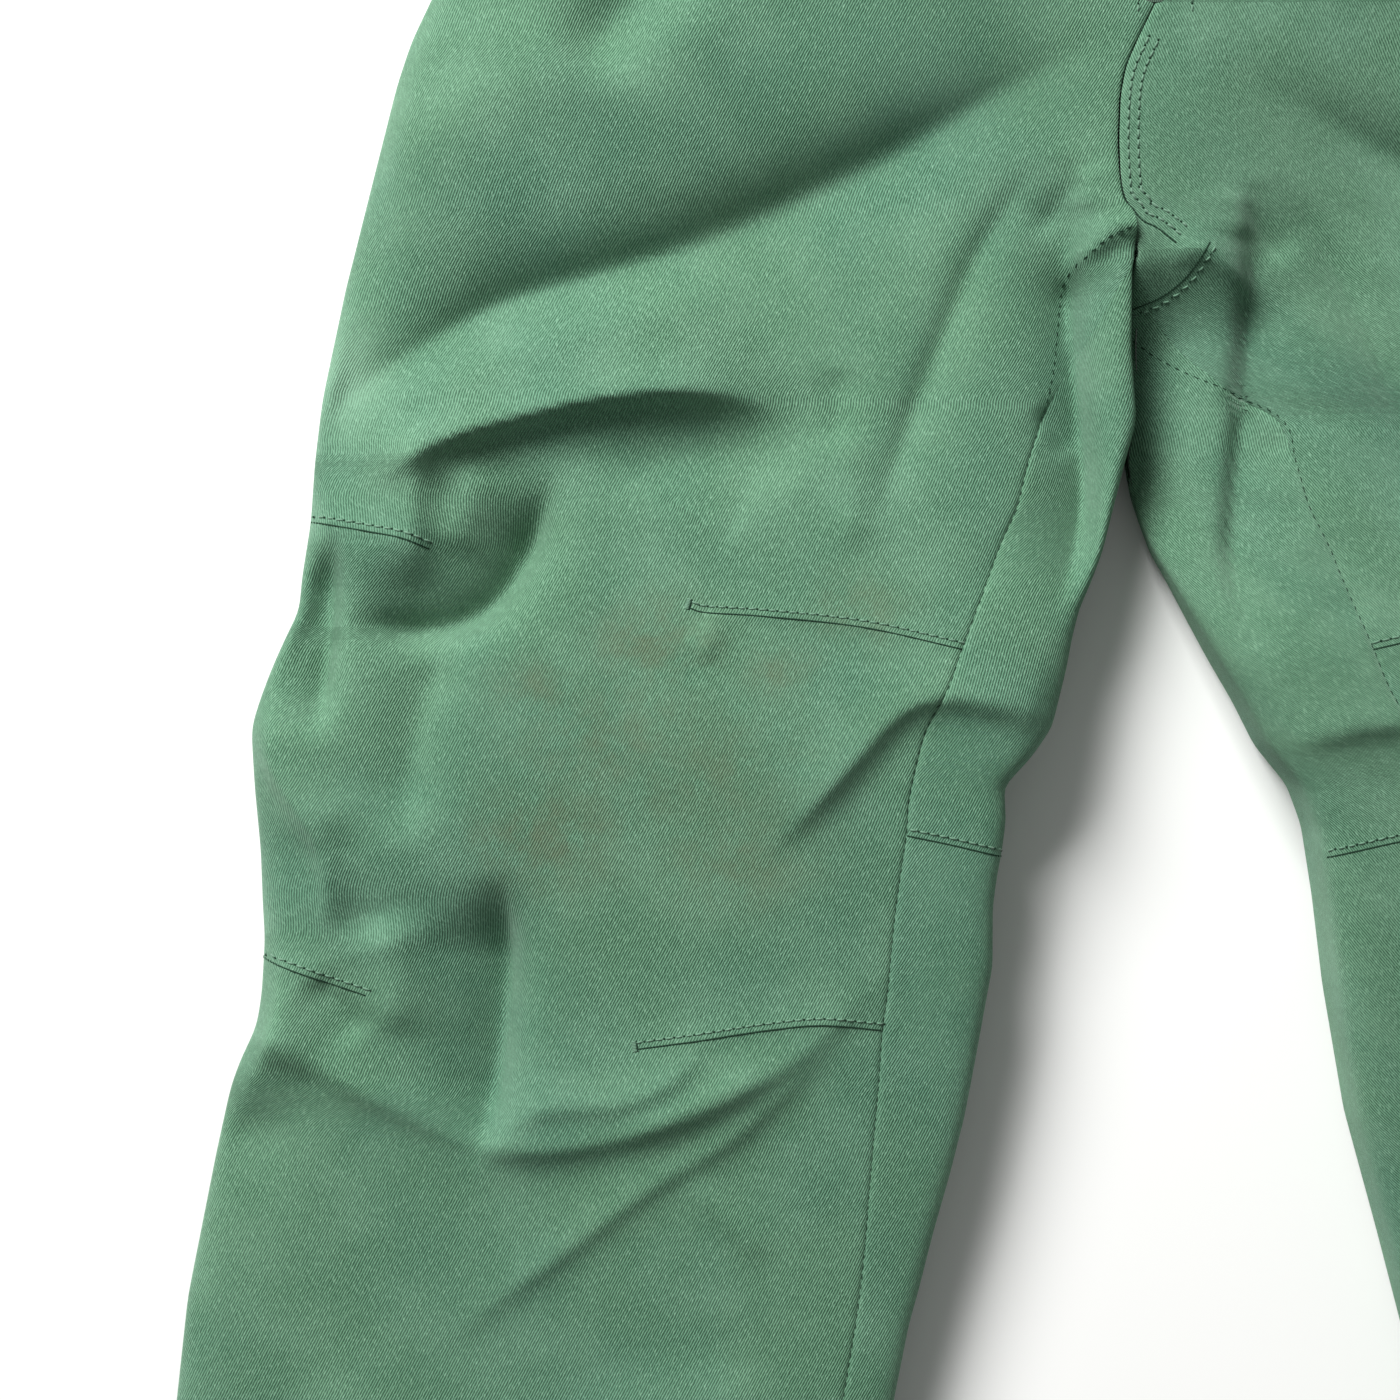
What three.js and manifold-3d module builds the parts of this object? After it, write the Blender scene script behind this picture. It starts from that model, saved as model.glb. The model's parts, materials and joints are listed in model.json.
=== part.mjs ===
// A child's long winter sports trousers, lying on their back with the legs a little apart.
// Millimetres. X runs to the wearer's left, Y to the waist and Z up, out of the front of the garment.
// The origin is under the middle of the garment, on the surface it lies on.
import * as THREE from "three";
import { mergeVertices } from "three/addons/utils/BufferGeometryUtils.js";
import Module from "manifold-3d";

const wasm = await Module();
wasm.setup();

// ---------------------------------------------------------------- driving dimensions
const RISE = 205; // crotch to the top of the waistband
const WAISTBAND = 34; // height of the waistband
const WAIST_HALF = 140; // half the flat width at the waist
const SEAT_HALF = 213; // half the flat width at the crotch
const KNEE_DOWN = 142; // crotch to knee, along Y
const KNEE_OUT = 134; // centre line to the middle of the knee, along X
const KNEE_WIDTH = 208; // flat width of a leg at the knee
const HEM_WIDTH = 184; // flat width of a leg at the hem
const SHIN = 278; // knee to hem, along the leg
const SPLAY = THREE.MathUtils.degToRad(11); // each leg from the centre line
const CLOTH = 1.6; // shell fabric with its backing
const LINING = 0.9;
const GAP = 0.35; // between sewn neighbours
const TOP = { seat: 32, crotch: 34, knee: 45, shin: 36, hem: 28 }; // height of the front
const MID = { seat: 14, knee: 16, hem: 12 }; // height of the folds at the sides
const HIP_AXIS_Z = 16;
const HIP_MAX = 90; // degrees
const KNEE_AXIS_Z = 20;
const KNEE_MAX = 110;
const INSEAM = 2.35; // where the inner leg seam lies round the leg, in radians from the outer fold
const FRONT_POWER = 2.6; // how square the front of a section is
const BACK_POWER = 5;
const FLAT_BACK = 0.62; // share of the back that lies flat
const LOOP = { wide: 10, thick: 1.3, over: 5.8, past: 4 }; // belt loops stand off the waistband
const BAND_OUT = 0.8; // the waistband stands this far outside the panels
const BACK_LIFT = LOOP.over + BAND_OUT + GAP; // the garment lies on its back belt loops

const KNEE = new THREE.Vector2(-KNEE_OUT, -KNEE_DOWN);
const DOWN_LEG = new THREE.Vector2(-Math.sin(SPLAY), -Math.cos(SPLAY));
const ACROSS_LEG = new THREE.Vector2(Math.cos(SPLAY), -Math.sin(SPLAY));
const HEM = KNEE.clone().addScaledVector(DOWN_LEG, SHIN);
const HEM_LOWEST = HEM.y + (HEM_WIDTH / 2) * ACROSS_LEG.y;
const CROTCH_Y = -(RISE + HEM_LOWEST) / 2;

// ---------------------------------------------------------------- materials
const finish = (color, roughness, metalness = 0) =>
  new THREE.MeshStandardMaterial({ color, roughness, metalness });
const MATERIALS = {
  shell: finish(0x67937a, 0.85),
  lining: finish(0x5d6a66, 0.8),
  zip: finish(0x2c4438, 0.8),
  metal: finish(0x6f7472, 0.35, 1),
  elastic: finish(0x3a4a42, 0.9),
};

// ---------------------------------------------------------------- solids
const { lerp, smoothstep } = THREE.MathUtils;
const X = new THREE.Vector3(1, 0, 0);
const Y = new THREE.Vector3(0, 1, 0);
const Z = new THREE.Vector3(0, 0, 1);
const box = (w, d, h, x, y, z) => new THREE.BoxGeometry(w, d, h).translate(x, y, z);

function solidOf(geometry) {
  const bare = geometry.clone();
  bare.deleteAttribute("normal");
  bare.deleteAttribute("uv");
  const merged = mergeVertices(bare, 1e-4);
  return new wasm.Manifold(
    new wasm.Mesh({
      numProp: 3,
      vertProperties: new Float32Array(merged.attributes.position.array),
      triVerts: new Uint32Array(merged.index.array),
    }),
  );
}

function geometryOf(solid) {
  const mesh = solid.getMesh();
  const geometry = new THREE.BufferGeometry();
  geometry.setAttribute("position", new THREE.BufferAttribute(mesh.vertProperties, 3));
  geometry.setIndex(new THREE.BufferAttribute(mesh.triVerts, 1));
  return geometry;
}

// The biggest body of a cut: a grazing cut can leave slivers beside it.
function largest(solid) {
  const bodies = solid.decompose();
  return bodies.reduce((a, b) => (b.volume() > a.volume() ? b : a));
}

// A closed sheet from two grids of points, its outer and inner faces. With tube set, the last
// column of each grid joins the first.
function sheetBetween(outer, inner, tube = false) {
  const rows = outer.length;
  const columns = outer[0].length;
  const at = (layer, r, c) => (layer * rows + r) * columns + (c % columns);
  const faces = [];
  const quad = (a, b, c, d) => faces.push(a, b, c, a, c, d);
  const last = tube ? columns : columns - 1;
  for (let c = 0; c < last; c++) {
    for (let r = 0; r < rows - 1; r++) {
      quad(at(0, r, c), at(0, r, c + 1), at(0, r + 1, c + 1), at(0, r + 1, c));
      quad(at(1, r, c), at(1, r + 1, c), at(1, r + 1, c + 1), at(1, r, c + 1));
    }
    quad(at(0, 0, c), at(1, 0, c), at(1, 0, c + 1), at(0, 0, c + 1));
    const r = rows - 1;
    quad(at(0, r, c), at(0, r, c + 1), at(1, r, c + 1), at(1, r, c));
  }
  for (let r = 0; r < rows - 1 && !tube; r++) {
    const c = columns - 1;
    quad(at(0, r, 0), at(0, r + 1, 0), at(1, r + 1, 0), at(1, r, 0));
    quad(at(0, r, c), at(1, r, c), at(1, r + 1, c), at(0, r + 1, c));
  }
  const points = [...outer.flat(), ...inner.flat()];
  const geometry = new THREE.BufferGeometry().setFromPoints(points);
  geometry.setIndex(signedVolume(points, faces) < 0 ? faces.reverse() : faces);
  return geometry;
}

function signedVolume(points, faces) {
  let sum = 0;
  for (let i = 0; i < faces.length; i += 3) {
    const [a, b, c] = faces.slice(i, i + 3).map((k) => points[k]);
    sum += a.dot(new THREE.Vector3().crossVectors(b, c));
  }
  return sum;
}

function mirrored(geometry) {
  const other = mergeVertices(geometry.clone());
  other.scale(-1, 1, 1);
  other.setIndex([...other.index.array].reverse());
  return other;
}

const trousers = new THREE.Group();

// Geometry is made in the pattern frame, whose origin is at the crotch.
function add(name, material, geometry) {
  const mesh = new THREE.Mesh(geometry.clone().translate(0, CROTCH_Y, 0), MATERIALS[material]);
  mesh.name = name;
  trousers.add(mesh);
}

// Adds a piece of the wearer's right side and its mirror image on the left.
function addPair(name, material, geometry) {
  add(`${name}_right`, material, geometry);
  add(`${name}_left`, material, mirrored(geometry));
}

// ---------------------------------------------------------------- the garment's surface, right half
// A row is one line across the half, from the outer fold at a = -1 to the centre or inner fold at
// a = 1. It is open where the half is open at the centre line, and not where it closes into a leg.
function seatRow(y) {
  const half = lerp(WAIST_HALF, SEAT_HALF, Math.pow(1 - y / RISE, 0.85)) / 2;
  return {
    centre: new THREE.Vector2(-half, y),
    half: new THREE.Vector2(half, 0),
    top: lerp(TOP.crotch, TOP.seat, smoothstep(y, 0, 50)),
    mid: MID.seat,
    base: BACK_LIFT * smoothstep(y, 125, RISE - WAISTBAND),
    open: smoothstep(y, 0, 50),
    seam: Math.PI,
  };
}

function thighRow(s) {
  const crotch = new THREE.Vector2(-SEAT_HALF / 2, 0);
  const crotchHalf = new THREE.Vector2(SEAT_HALF / 2 - 1, 0);
  const kneeHalf = ACROSS_LEG.clone().multiplyScalar(KNEE_WIDTH / 2);
  return {
    centre: crotch.lerp(KNEE, s),
    half: crotchHalf.lerp(kneeHalf, s),
    top: lerp(TOP.crotch, TOP.knee, smoothstep(s, 0, 1)),
    mid: lerp(MID.seat, MID.knee, s),
    base: 0,
    open: 0,
    seam: lerp(Math.PI, INSEAM, smoothstep(s, 0, 0.14)),
  };
}

function shinRow(t) {
  const upper = lerp(TOP.knee, TOP.shin, smoothstep(t, 0, 0.5));
  return {
    centre: KNEE.clone().addScaledVector(DOWN_LEG, SHIN * t),
    half: ACROSS_LEG.clone().multiplyScalar(lerp(KNEE_WIDTH, HEM_WIDTH, t) / 2),
    top: lerp(upper, TOP.hem, smoothstep(t, 0.5, 1)),
    mid: lerp(MID.knee, MID.hem, t),
    base: 0,
    open: 0,
    seam: INSEAM,
  };
}

function rounded(x, power) {
  return Math.pow(Math.max(0, 1 - Math.pow(Math.abs(x), power)), 1 / power);
}

// A point at an angle round a row: 0 is the outer fold, PI / 2 the front and PI the inner fold or
// the centre. front, back and side say how far inside the garment's outer face it lies.
function around(row, angle, { front = 0, back = front, side = front } = {}) {
  const a = -Math.cos(angle);
  const isFront = angle <= Math.PI;
  const fullness = (x) =>
    isFront ? rounded(x, FRONT_POWER) : Math.min(1, rounded(x, BACK_POWER) / rounded(FLAT_BACK, BACK_POWER));
  const full = lerp(fullness(a), fullness((1 - a) / 2), row.open);
  const inset = side / row.half.length();
  const place = lerp(a * (1 - inset), a + (inset * (1 - a)) / 2, row.open);
  const flat = row.centre.clone().addScaledVector(row.half, place);
  const z = isFront
    ? row.mid + GAP / 2 + (row.top - front - row.mid - GAP / 2) * full
    : row.mid - GAP / 2 - (row.mid - GAP / 2 - row.base - back) * full;
  return new THREE.Vector3(flat.x, flat.y, z);
}

const SEAT_ROWS = [171, 146, 118, 90, 64, 44, 30, 18, 8, 2].map(seatRow);
const LEG_ROWS = [
  ...[0.03, 0.08, 0.15, 0.28, 0.44, 0.62, 0.8, 1].map(thighRow),
  ...[0.1, 0.22, 0.38, 0.56, 0.76, 0.958].map(shinRow),
];
const SHELL = [{ front: 0 }, { front: CLOTH }];
const TINY = 1e-6; // past PI, a point is on the back

function grid(rows, from, to, columns, depth) {
  return rows.map((row) =>
    Array.from({ length: columns + 1 }, (_, i) => around(row, lerp(from(row), to(row), i / columns), depth)),
  );
}

// A sheet of the garment between two angles, which may change from row to row.
function panel(rows, from, to, columns, [outer, inner]) {
  return sheetBetween(grid(rows, from, to, columns, outer), grid(rows, from, to, columns, inner));
}

// A sheet all the way round a leg.
function ring(rows, [outer, inner], columns = 22) {
  const round = (depth) =>
    grid(rows, () => 0, () => 2 * Math.PI, columns, depth).map((points) => points.slice(0, -1));
  return sheetBetween(round(outer), round(inner), true);
}

const always = (angle) => () => angle;
const deeper = (depth, by) => Object.fromEntries(Object.entries(depth).map(([key, v]) => [key, v + by]));

// ---------------------------------------------------------------- where the cloth is cut for the joints
const FAR = 700;

// A prism right across the garment, from an outline whose x runs down the leg and whose y is up.
function prism(outline, frame) {
  const shape = new THREE.Shape(outline.map(([down, z]) => new THREE.Vector2(down, z)));
  const geometry = new THREE.ExtrudeGeometry(shape, { depth: 2 * FAR, bevelEnabled: false });
  return solidOf(geometry.translate(0, 0, -FAR).applyMatrix4(frame));
}

const HIP_FRAME = new THREE.Matrix4().makeBasis(Y.clone().negate(), Z, X.clone().negate());
const KNEE_FRAME = new THREE.Matrix4()
  .makeBasis(
    new THREE.Vector3(DOWN_LEG.x, DOWN_LEG.y, 0),
    Z,
    new THREE.Vector3(-ACROSS_LEG.x, -ACROSS_LEG.y, 0),
  )
  .setPosition(KNEE.x, KNEE.y, 0);

// The room that a bend closes up, from the hinge line to the front (toward = 1) or the back (-1).
function wedge(axisZ, degrees, toward, room) {
  const reach = 60;
  const wide = reach * Math.tan(THREE.MathUtils.degToRad(degrees / 2)) + room;
  const outline = [
    [-room, axisZ - toward * 2],
    [room, axisZ - toward * 2],
    [wide, axisZ + toward * reach],
    [-wide, axisZ + toward * reach],
  ];
  return toward > 0 ? outline : outline.reverse();
}

const slabOutline = (from, to) => [[from, -50], [to, -50], [to, 200], [from, 200]];
const CLEAR = 2; // degrees left at full bend
const ROOM = { cut: 0.9, fold: 0.5 };
const hipWedge = prism(wedge(HIP_AXIS_Z, HIP_MAX + CLEAR, 1, ROOM.cut), HIP_FRAME);
const hipFold = prism(wedge(HIP_AXIS_Z, HIP_MAX + CLEAR, 1, ROOM.fold), HIP_FRAME);
const kneeWedge = prism(wedge(KNEE_AXIS_Z, KNEE_MAX + CLEAR, -1, ROOM.cut), KNEE_FRAME);
const kneeFold = prism(wedge(KNEE_AXIS_Z, KNEE_MAX + CLEAR, -1, ROOM.fold), KNEE_FRAME);
const aboveHip = prism(slabOutline(-FAR, -GAP / 2), HIP_FRAME);
const belowHip = prism(slabOutline(GAP / 2, FAR), HIP_FRAME);
const aboveKnee = prism(slabOutline(-FAR, -GAP / 2), KNEE_FRAME);
const belowKnee = prism(slabOutline(GAP / 2, FAR), KNEE_FRAME);
const SEAT_SIDE = aboveHip.subtract(hipWedge);
const THIGH_SIDE = belowHip.subtract(hipWedge).intersect(aboveKnee).subtract(kneeWedge);
const SHIN_SIDE = belowKnee.subtract(kneeWedge);
const RIGHT_HALF = solidOf(box(FAR, 3 * FAR, FAR, -FAR / 2 - GAP / 2, 0, 0));
const cut = (solid, region) => geometryOf(largest(solid.intersect(region)));

// ---------------------------------------------------------------- zips
const ZIP = { tape: 11, thick: 0.8, rail: [0.85, 2.5], pitch: 5, tooth: 2.4 };
const SLIDER = { long: 11, wide: 7.6, high: 4.6, bar: 0.9, barUp: 2.5 };
const PULL = { long: 24, wide: 6, thick: 1.4, eye: 1.25, barrel: 2.05, neck: 3.4 };
const BAR_Z = SLIDER.high / 2 + SLIDER.barUp;

// One side of a zip, in the zip's frame: x runs down it, y is across it and z is out of the cloth.
function zipSide(length, side) {
  const middle = side * (ZIP.rail[0] + ZIP.tape / 2);
  let whole = solidOf(box(length, ZIP.tape, ZIP.thick, 0, middle, 0));
  const [near, far] = ZIP.rail;
  const count = Math.floor(length / ZIP.pitch);
  for (let i = 0; i < count; i++) {
    const x = (i + 0.5 - count / 2) * ZIP.pitch;
    const tooth = box(ZIP.tooth, far - near, 1.2, x, (side * (near + far)) / 2, 0.6);
    whole = whole.add(solidOf(tooth));
  }
  return geometryOf(whole);
}

const crossBar = (radius, length, x = 0) =>
  solidOf(new THREE.CylinderGeometry(radius, radius, length, 14).translate(x, 0, BAR_Z));

// A zip slider: two plates joined by a post, with a bar between two ears that carries the pull.
function slider() {
  const { long, wide, high } = SLIDER;
  const outline = new THREE.Shape();
  outline.moveTo(-long / 2, -wide / 2);
  outline.lineTo(long / 4, -wide * 0.42);
  outline.quadraticCurveTo(long / 2, -wide * 0.38, long / 2, 0);
  outline.quadraticCurveTo(long / 2, wide * 0.38, long / 4, wide * 0.42);
  outline.lineTo(-long / 2, wide / 2);
  outline.closePath();
  const extrude = { depth: high, bevelEnabled: false, curveSegments: 4 };
  const ear = (side) =>
    solidOf(box(3.4, 0.9, SLIDER.barUp + 1.4, 0, side * 2.9, high / 2 + SLIDER.barUp / 2 + 0.4));
  return geometryOf(
    solidOf(new THREE.ExtrudeGeometry(outline, extrude).translate(0, 0, -high / 2))
      .subtract(solidOf(box(2 * long, 2 * ZIP.rail[1] + 0.9, 2.8, 0, 0, 0.1)))
      .subtract(solidOf(box(2 * long, 2 * wide, 1.5, 0, 0, 0)))
      .add(solidOf(box(1.6, 1.1, high - 0.4, 1.2 - long / 2, 0, 0)))
      .add(ear(1))
      .add(ear(-1))
      .add(crossBar(SLIDER.bar, 6.2)),
  );
}

function pull() {
  const hole = new THREE.CylinderGeometry(1.5, 1.5, 6, 12).rotateX(Math.PI / 2);
  return geometryOf(
    crossBar(PULL.barrel, 4.2)
      .add(solidOf(box(7, PULL.neck, PULL.thick, 3.4, 0, BAR_Z)))
      .add(solidOf(box(PULL.long - 1, PULL.wide, PULL.thick, PULL.long / 2 + 5.2, 0, BAR_Z)))
      .subtract(crossBar(PULL.eye, 8))
      .subtract(solidOf(hole.translate(PULL.long + 1, 0, BAR_Z))),
  );
}

// ---------------------------------------------------------------- shell panels
const FLY = { bottom: 66, top: RISE - WAISTBAND - 1, slot: 11, depth: 2.8, start: 8, shield: 36 };
const flyMiddle = (FLY.bottom + FLY.top) / 2;
const flyLength = FLY.top - FLY.bottom;
const flyZ = TOP.seat - FLY.depth;
const FLY_FRAME = new THREE.Matrix4()
  .makeBasis(Y.clone().negate(), X, Z)
  .setPosition(0, flyMiddle, flyZ);
const inFly = (geometry) => geometry.applyMatrix4(FLY_FRAME);
const flySlot = solidOf(box(FLY.slot, flyLength + 6, 14, 0, flyMiddle + 3, TOP.seat));

// The hand pocket's zip slants from near the waistband toward the side.
const POCKET = { top: [156, 0.56], end: [76, 0.27], slot: 10.4, depth: 3.2, start: 9 };
const onSeat = ([y, share]) => around(seatRow(y), Math.acos(1 - 2 * share));
const pocketTop = onSeat(POCKET.top);
const pocketEnd = onSeat(POCKET.end);
const pocketLength = pocketTop.distanceTo(pocketEnd);
const pocketAlong = pocketEnd.clone().sub(pocketTop).normalize();
const pocketHeart = [(POCKET.top[0] + POCKET.end[0]) / 2, (POCKET.top[1] + POCKET.end[1]) / 2];
const beside = (by) => onSeat([pocketHeart[0], pocketHeart[1] + by]);
const pocketOut = new THREE.Vector3()
  .crossVectors(pocketAlong, beside(0.05).sub(beside(-0.05)))
  .normalize();
const POCKET_FRAME = new THREE.Matrix4()
  .makeBasis(pocketAlong, new THREE.Vector3().crossVectors(pocketOut, pocketAlong), pocketOut)
  .setPosition(pocketTop.clone().lerp(pocketEnd, 0.5).addScaledVector(pocketOut, -POCKET.depth));
const inPocket = (geometry) => geometry.applyMatrix4(POCKET_FRAME);
const pocketSlot = solidOf(inPocket(box(pocketLength, POCKET.slot, 16, 0, 0, 3)));

const rows = [...SEAT_ROWS, ...LEG_ROWS];
const seamRoom = (row) => (row.seam === Math.PI ? 0 : GAP / 2 / row.half.length() / Math.sin(INSEAM));
const frontCloth = solidOf(panel(rows, always(0), (row) => row.seam - seamRoom(row), 12, SHELL))
  .intersect(RIGHT_HALF);
const backStart = (row) => row.seam + seamRoom(row) + TINY;
const backCloth = solidOf(panel(rows, backStart, always(2 * Math.PI), 15, SHELL)).intersect(RIGHT_HALF);

addPair("front_hip", "shell", cut(frontCloth.subtract(flySlot).subtract(pocketSlot), SEAT_SIDE));
addPair("groin_fold", "shell", cut(frontCloth, hipFold));
addPair("front_thigh", "shell", cut(frontCloth, THIGH_SIDE));
addPair("front_shin", "shell", cut(frontCloth, SHIN_SIDE));
addPair("back_hip", "shell", cut(backCloth, SEAT_SIDE));
addPair("back_thigh", "shell", cut(backCloth, THIGH_SIDE));
addPair("back_knee_fold", "shell", cut(backCloth, kneeFold));
addPair("back_shin", "shell", cut(backCloth, SHIN_SIDE));

// ---------------------------------------------------------------- linings
const seatLining = { front: 0, back: CLOTH + 1, side: 16 };
const liningFaces = [seatLining, deeper(seatLining, LINING)];
const liningBack = panel(
  SEAT_ROWS.slice(0, 5), always(Math.PI + TINY), always(2 * Math.PI - 0.5), 10, liningFaces,
);
addPair("seat_lining", "lining", geometryOf(solidOf(liningBack).intersect(RIGHT_HALF)));
const legLining = { front: CLOTH + 1.2, back: CLOTH + 1, side: CLOTH + 2 };
const legLiningRows = [...[0.22, 0.5, 0.75, 1].map(thighRow), ...[0.15, 0.35, 0.6].map(shinRow)];
const liningTube = solidOf(ring(legLiningRows, [legLining, deeper(legLining, LINING)], 18));
addPair("thigh_lining", "lining", cut(liningTube, THIGH_SIDE));
addPair("shin_lining", "lining", cut(liningTube, SHIN_SIDE));

// ---------------------------------------------------------------- hems and snow gaiters
const hemRows = [0.958 + (GAP / SHIN), 1].map(shinRow);
addPair("hem_band", "shell", ring(hemRows, [{ front: 0 }, { front: 2.4 }]));
const gaiter = { front: 4.6, back: 4, side: 7 };
addPair("snow_gaiter", "lining", ring([0.64, 0.76, 0.88].map(shinRow), [gaiter, deeper(gaiter, LINING)], 18));
const cuff = { front: 5.2, back: 4.4, side: 12 };
addPair("gaiter_elastic", "elastic", ring([0.8825, 0.93].map(shinRow), [cuff, deeper(cuff, 1.8)], 18));

// ---------------------------------------------------------------- waistband
const bandRows = [RISE - WAISTBAND + GAP, RISE - WAISTBAND / 2, RISE].map(seatRow);
const bandFaces = [{ front: -BAND_OUT }, { front: CLOTH + 0.6 }];
const bandSlot = solidOf(box(FLY.slot, 60, 14, 0, RISE - 10, TOP.seat));
const bandFront = solidOf(panel(bandRows, always(0), always(Math.PI), 12, bandFaces));
addPair("waistband_front", "shell", geometryOf(bandFront.intersect(RIGHT_HALF).subtract(bandSlot)));

// Joins a half that starts on the centre line to its mirror image.
function bothHalves(half) {
  const over = half.translate(0.01, 0, 0);
  return geometryOf(largest(over.add(solidOf(mirrored(geometryOf(over))))));
}

const bandBack = solidOf(panel(bandRows, always(Math.PI + TINY), always(2 * Math.PI), 12, bandFaces));
add("waistband_back", "shell", bothHalves(bandBack));
const elasticFaces = [{ front: CLOTH + 1 }, { front: CLOTH + 2.6 }];
const elasticRows = [RISE - 27, RISE - 7].map(seatRow);
const elastic = solidOf(panel(elasticRows, always(Math.PI + TINY), always(2 * Math.PI - 1), 8, elasticFaces));
add("back_waist_elastic", "elastic", bothHalves(elastic));

// A belt loop along Y, sewn down at both ends, with z out of the cloth.
function beltLoop() {
  const long = WAISTBAND + LOOP.past;
  const corner = LOOP.thick;
  const top = LOOP.over;
  const outline = new THREE.Shape();
  outline.moveTo(-long / 2, 0);
  outline.lineTo(-long / 2, top - corner);
  outline.lineTo(corner - long / 2, top);
  outline.lineTo(long / 2 - corner, top);
  outline.lineTo(long / 2, top - corner);
  outline.lineTo(long / 2, 0);
  outline.lineTo(long / 2 - LOOP.thick, 0);
  outline.lineTo(long / 2 - LOOP.thick, top - LOOP.thick);
  outline.lineTo(LOOP.thick - long / 2, top - LOOP.thick);
  outline.lineTo(LOOP.thick - long / 2, 0);
  outline.closePath();
  const strap = new THREE.ExtrudeGeometry(outline, { depth: LOOP.wide, bevelEnabled: false });
  return strap.translate(0, 0, -LOOP.wide / 2).applyMatrix4(HIP_FRAME);
}

const loopY = RISE - (WAISTBAND + LOOP.past) / 2 - 0.5;
const frontLoopX = -70;
const frontLoopZ = onSeat([loopY, 1 + (frontLoopX + LOOP.wide / 2) / WAIST_HALF]).z + BAND_OUT + GAP;
addPair("belt_loop_front", "shell", beltLoop().translate(frontLoopX, loopY, frontLoopZ));
const backLoop = (x) => beltLoop().rotateY(Math.PI).translate(x, loopY, LOOP.over);
addPair("belt_loop_back", "shell", backLoop(-66));
add("belt_loop_centre", "shell", backLoop(0));

// ---------------------------------------------------------------- fly
add("fly_zip_right", "zip", inFly(zipSide(flyLength - 2, -1)));
add("fly_zip_left", "zip", inFly(zipSide(flyLength - 2, 1)));
const flyStart = FLY.start - flyLength / 2;
add("fly_slider", "metal", inFly(slider().translate(flyStart, 0, 0)));
add("fly_pull", "metal", inFly(pull().translate(flyStart, 0, 0)));
const shieldLong = RISE - 3 - (FLY.bottom - 6);
const shieldY = (RISE - 3 + FLY.bottom - 6) / 2;
add("fly_shield", "lining", box(FLY.shield, shieldLong, 1.2, 0, shieldY, flyZ - SLIDER.high / 2 - 1.2));

// ---------------------------------------------------------------- waist tab and its snap
const TAB = { root: -34, tip: 28, wide: 24, thick: 1.5, lift: 3, snapX: 16, rootLong: 8 };
const bandTop = TOP.seat + BAND_OUT;
const tabY = RISE - WAISTBAND / 2;
const tabPlate = bandTop + TAB.lift + TAB.thick / 2;
const disc = (radius, low, high, sides = 24) =>
  solidOf(
    new THREE.CylinderGeometry(radius, radius, high - low, sides)
      .rotateX(Math.PI / 2)
      .translate(TAB.snapX, tabY, (low + high) / 2),
  );
const tabLow = bandTop + TAB.lift;
const tabHigh = tabLow + TAB.thick;
const tabLength = TAB.tip - TAB.root;
const rootHigh = TAB.lift + TAB.thick - 0.3;
const rootX = TAB.root + TAB.rootLong / 2;
const tab = solidOf(box(tabLength, TAB.wide, TAB.thick, (TAB.tip + TAB.root) / 2, tabY, tabPlate))
  .add(solidOf(box(TAB.rootLong, TAB.wide, rootHigh, rootX, tabY, tabHigh - rootHigh / 2)))
  .subtract(disc(1.8, tabLow - 1, tabHigh + 1));
add("waist_tab", "shell", geometryOf(tab));
const capLow = tabHigh + 0.15;
const dome = disc(6, capLow, capLow + 0.9).add(disc(4.6, capLow + 0.5, capLow + 1.6));
add("waist_snap_cap", "metal", geometryOf(dome.add(disc(1.5, tabLow - 0.5, capLow + 0.5))));
const socket = disc(5, tabLow - 1.7, tabLow - 0.15).subtract(disc(2.6, tabLow - 2, tabLow));
add("waist_snap_socket", "metal", geometryOf(socket));
const stud = disc(4.4, bandTop + 0.15, bandTop + 0.75).add(disc(1.9, bandTop + 0.5, tabLow - 0.8));
add("waist_snap_stud", "metal", geometryOf(stud));

// ---------------------------------------------------------------- hand pockets
const pocketStart = POCKET.start - pocketLength / 2;
addPair("pocket_zip_inner", "zip", inPocket(zipSide(pocketLength - 2, 1)));
addPair("pocket_zip_outer", "zip", inPocket(zipSide(pocketLength - 2, -1)));
addPair("pocket_slider", "metal", inPocket(slider().translate(pocketStart, 0, 0)));
addPair("pocket_pull", "metal", inPocket(pull().translate(pocketStart, 0, 0)));
const bagFaces = [{ front: 9.4, side: 0 }, { front: 10.4, side: 0 }];
const share = (s) => always(Math.acos(1 - 2 * s));
const bag = panel([162, 130, 95, 60, 36].map(seatRow), share(0.2), share(0.8), 8, bagFaces);
addPair("pocket_bag", "lining", bag);

export default trousers;
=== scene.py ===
"""Looks for a child's green winter sports trousers, laid on their back and seen from above.

The shell is drawn as a relief: every leg has an outline, a rounded section and a list of folds,
in millimetres from the crotch, with +y to the waist and +x to the wearer's left.
"""

import json
import math

import bmesh
import bpy
import numpy as np
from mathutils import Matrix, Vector
from mathutils.bvhtree import BVHTree

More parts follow.
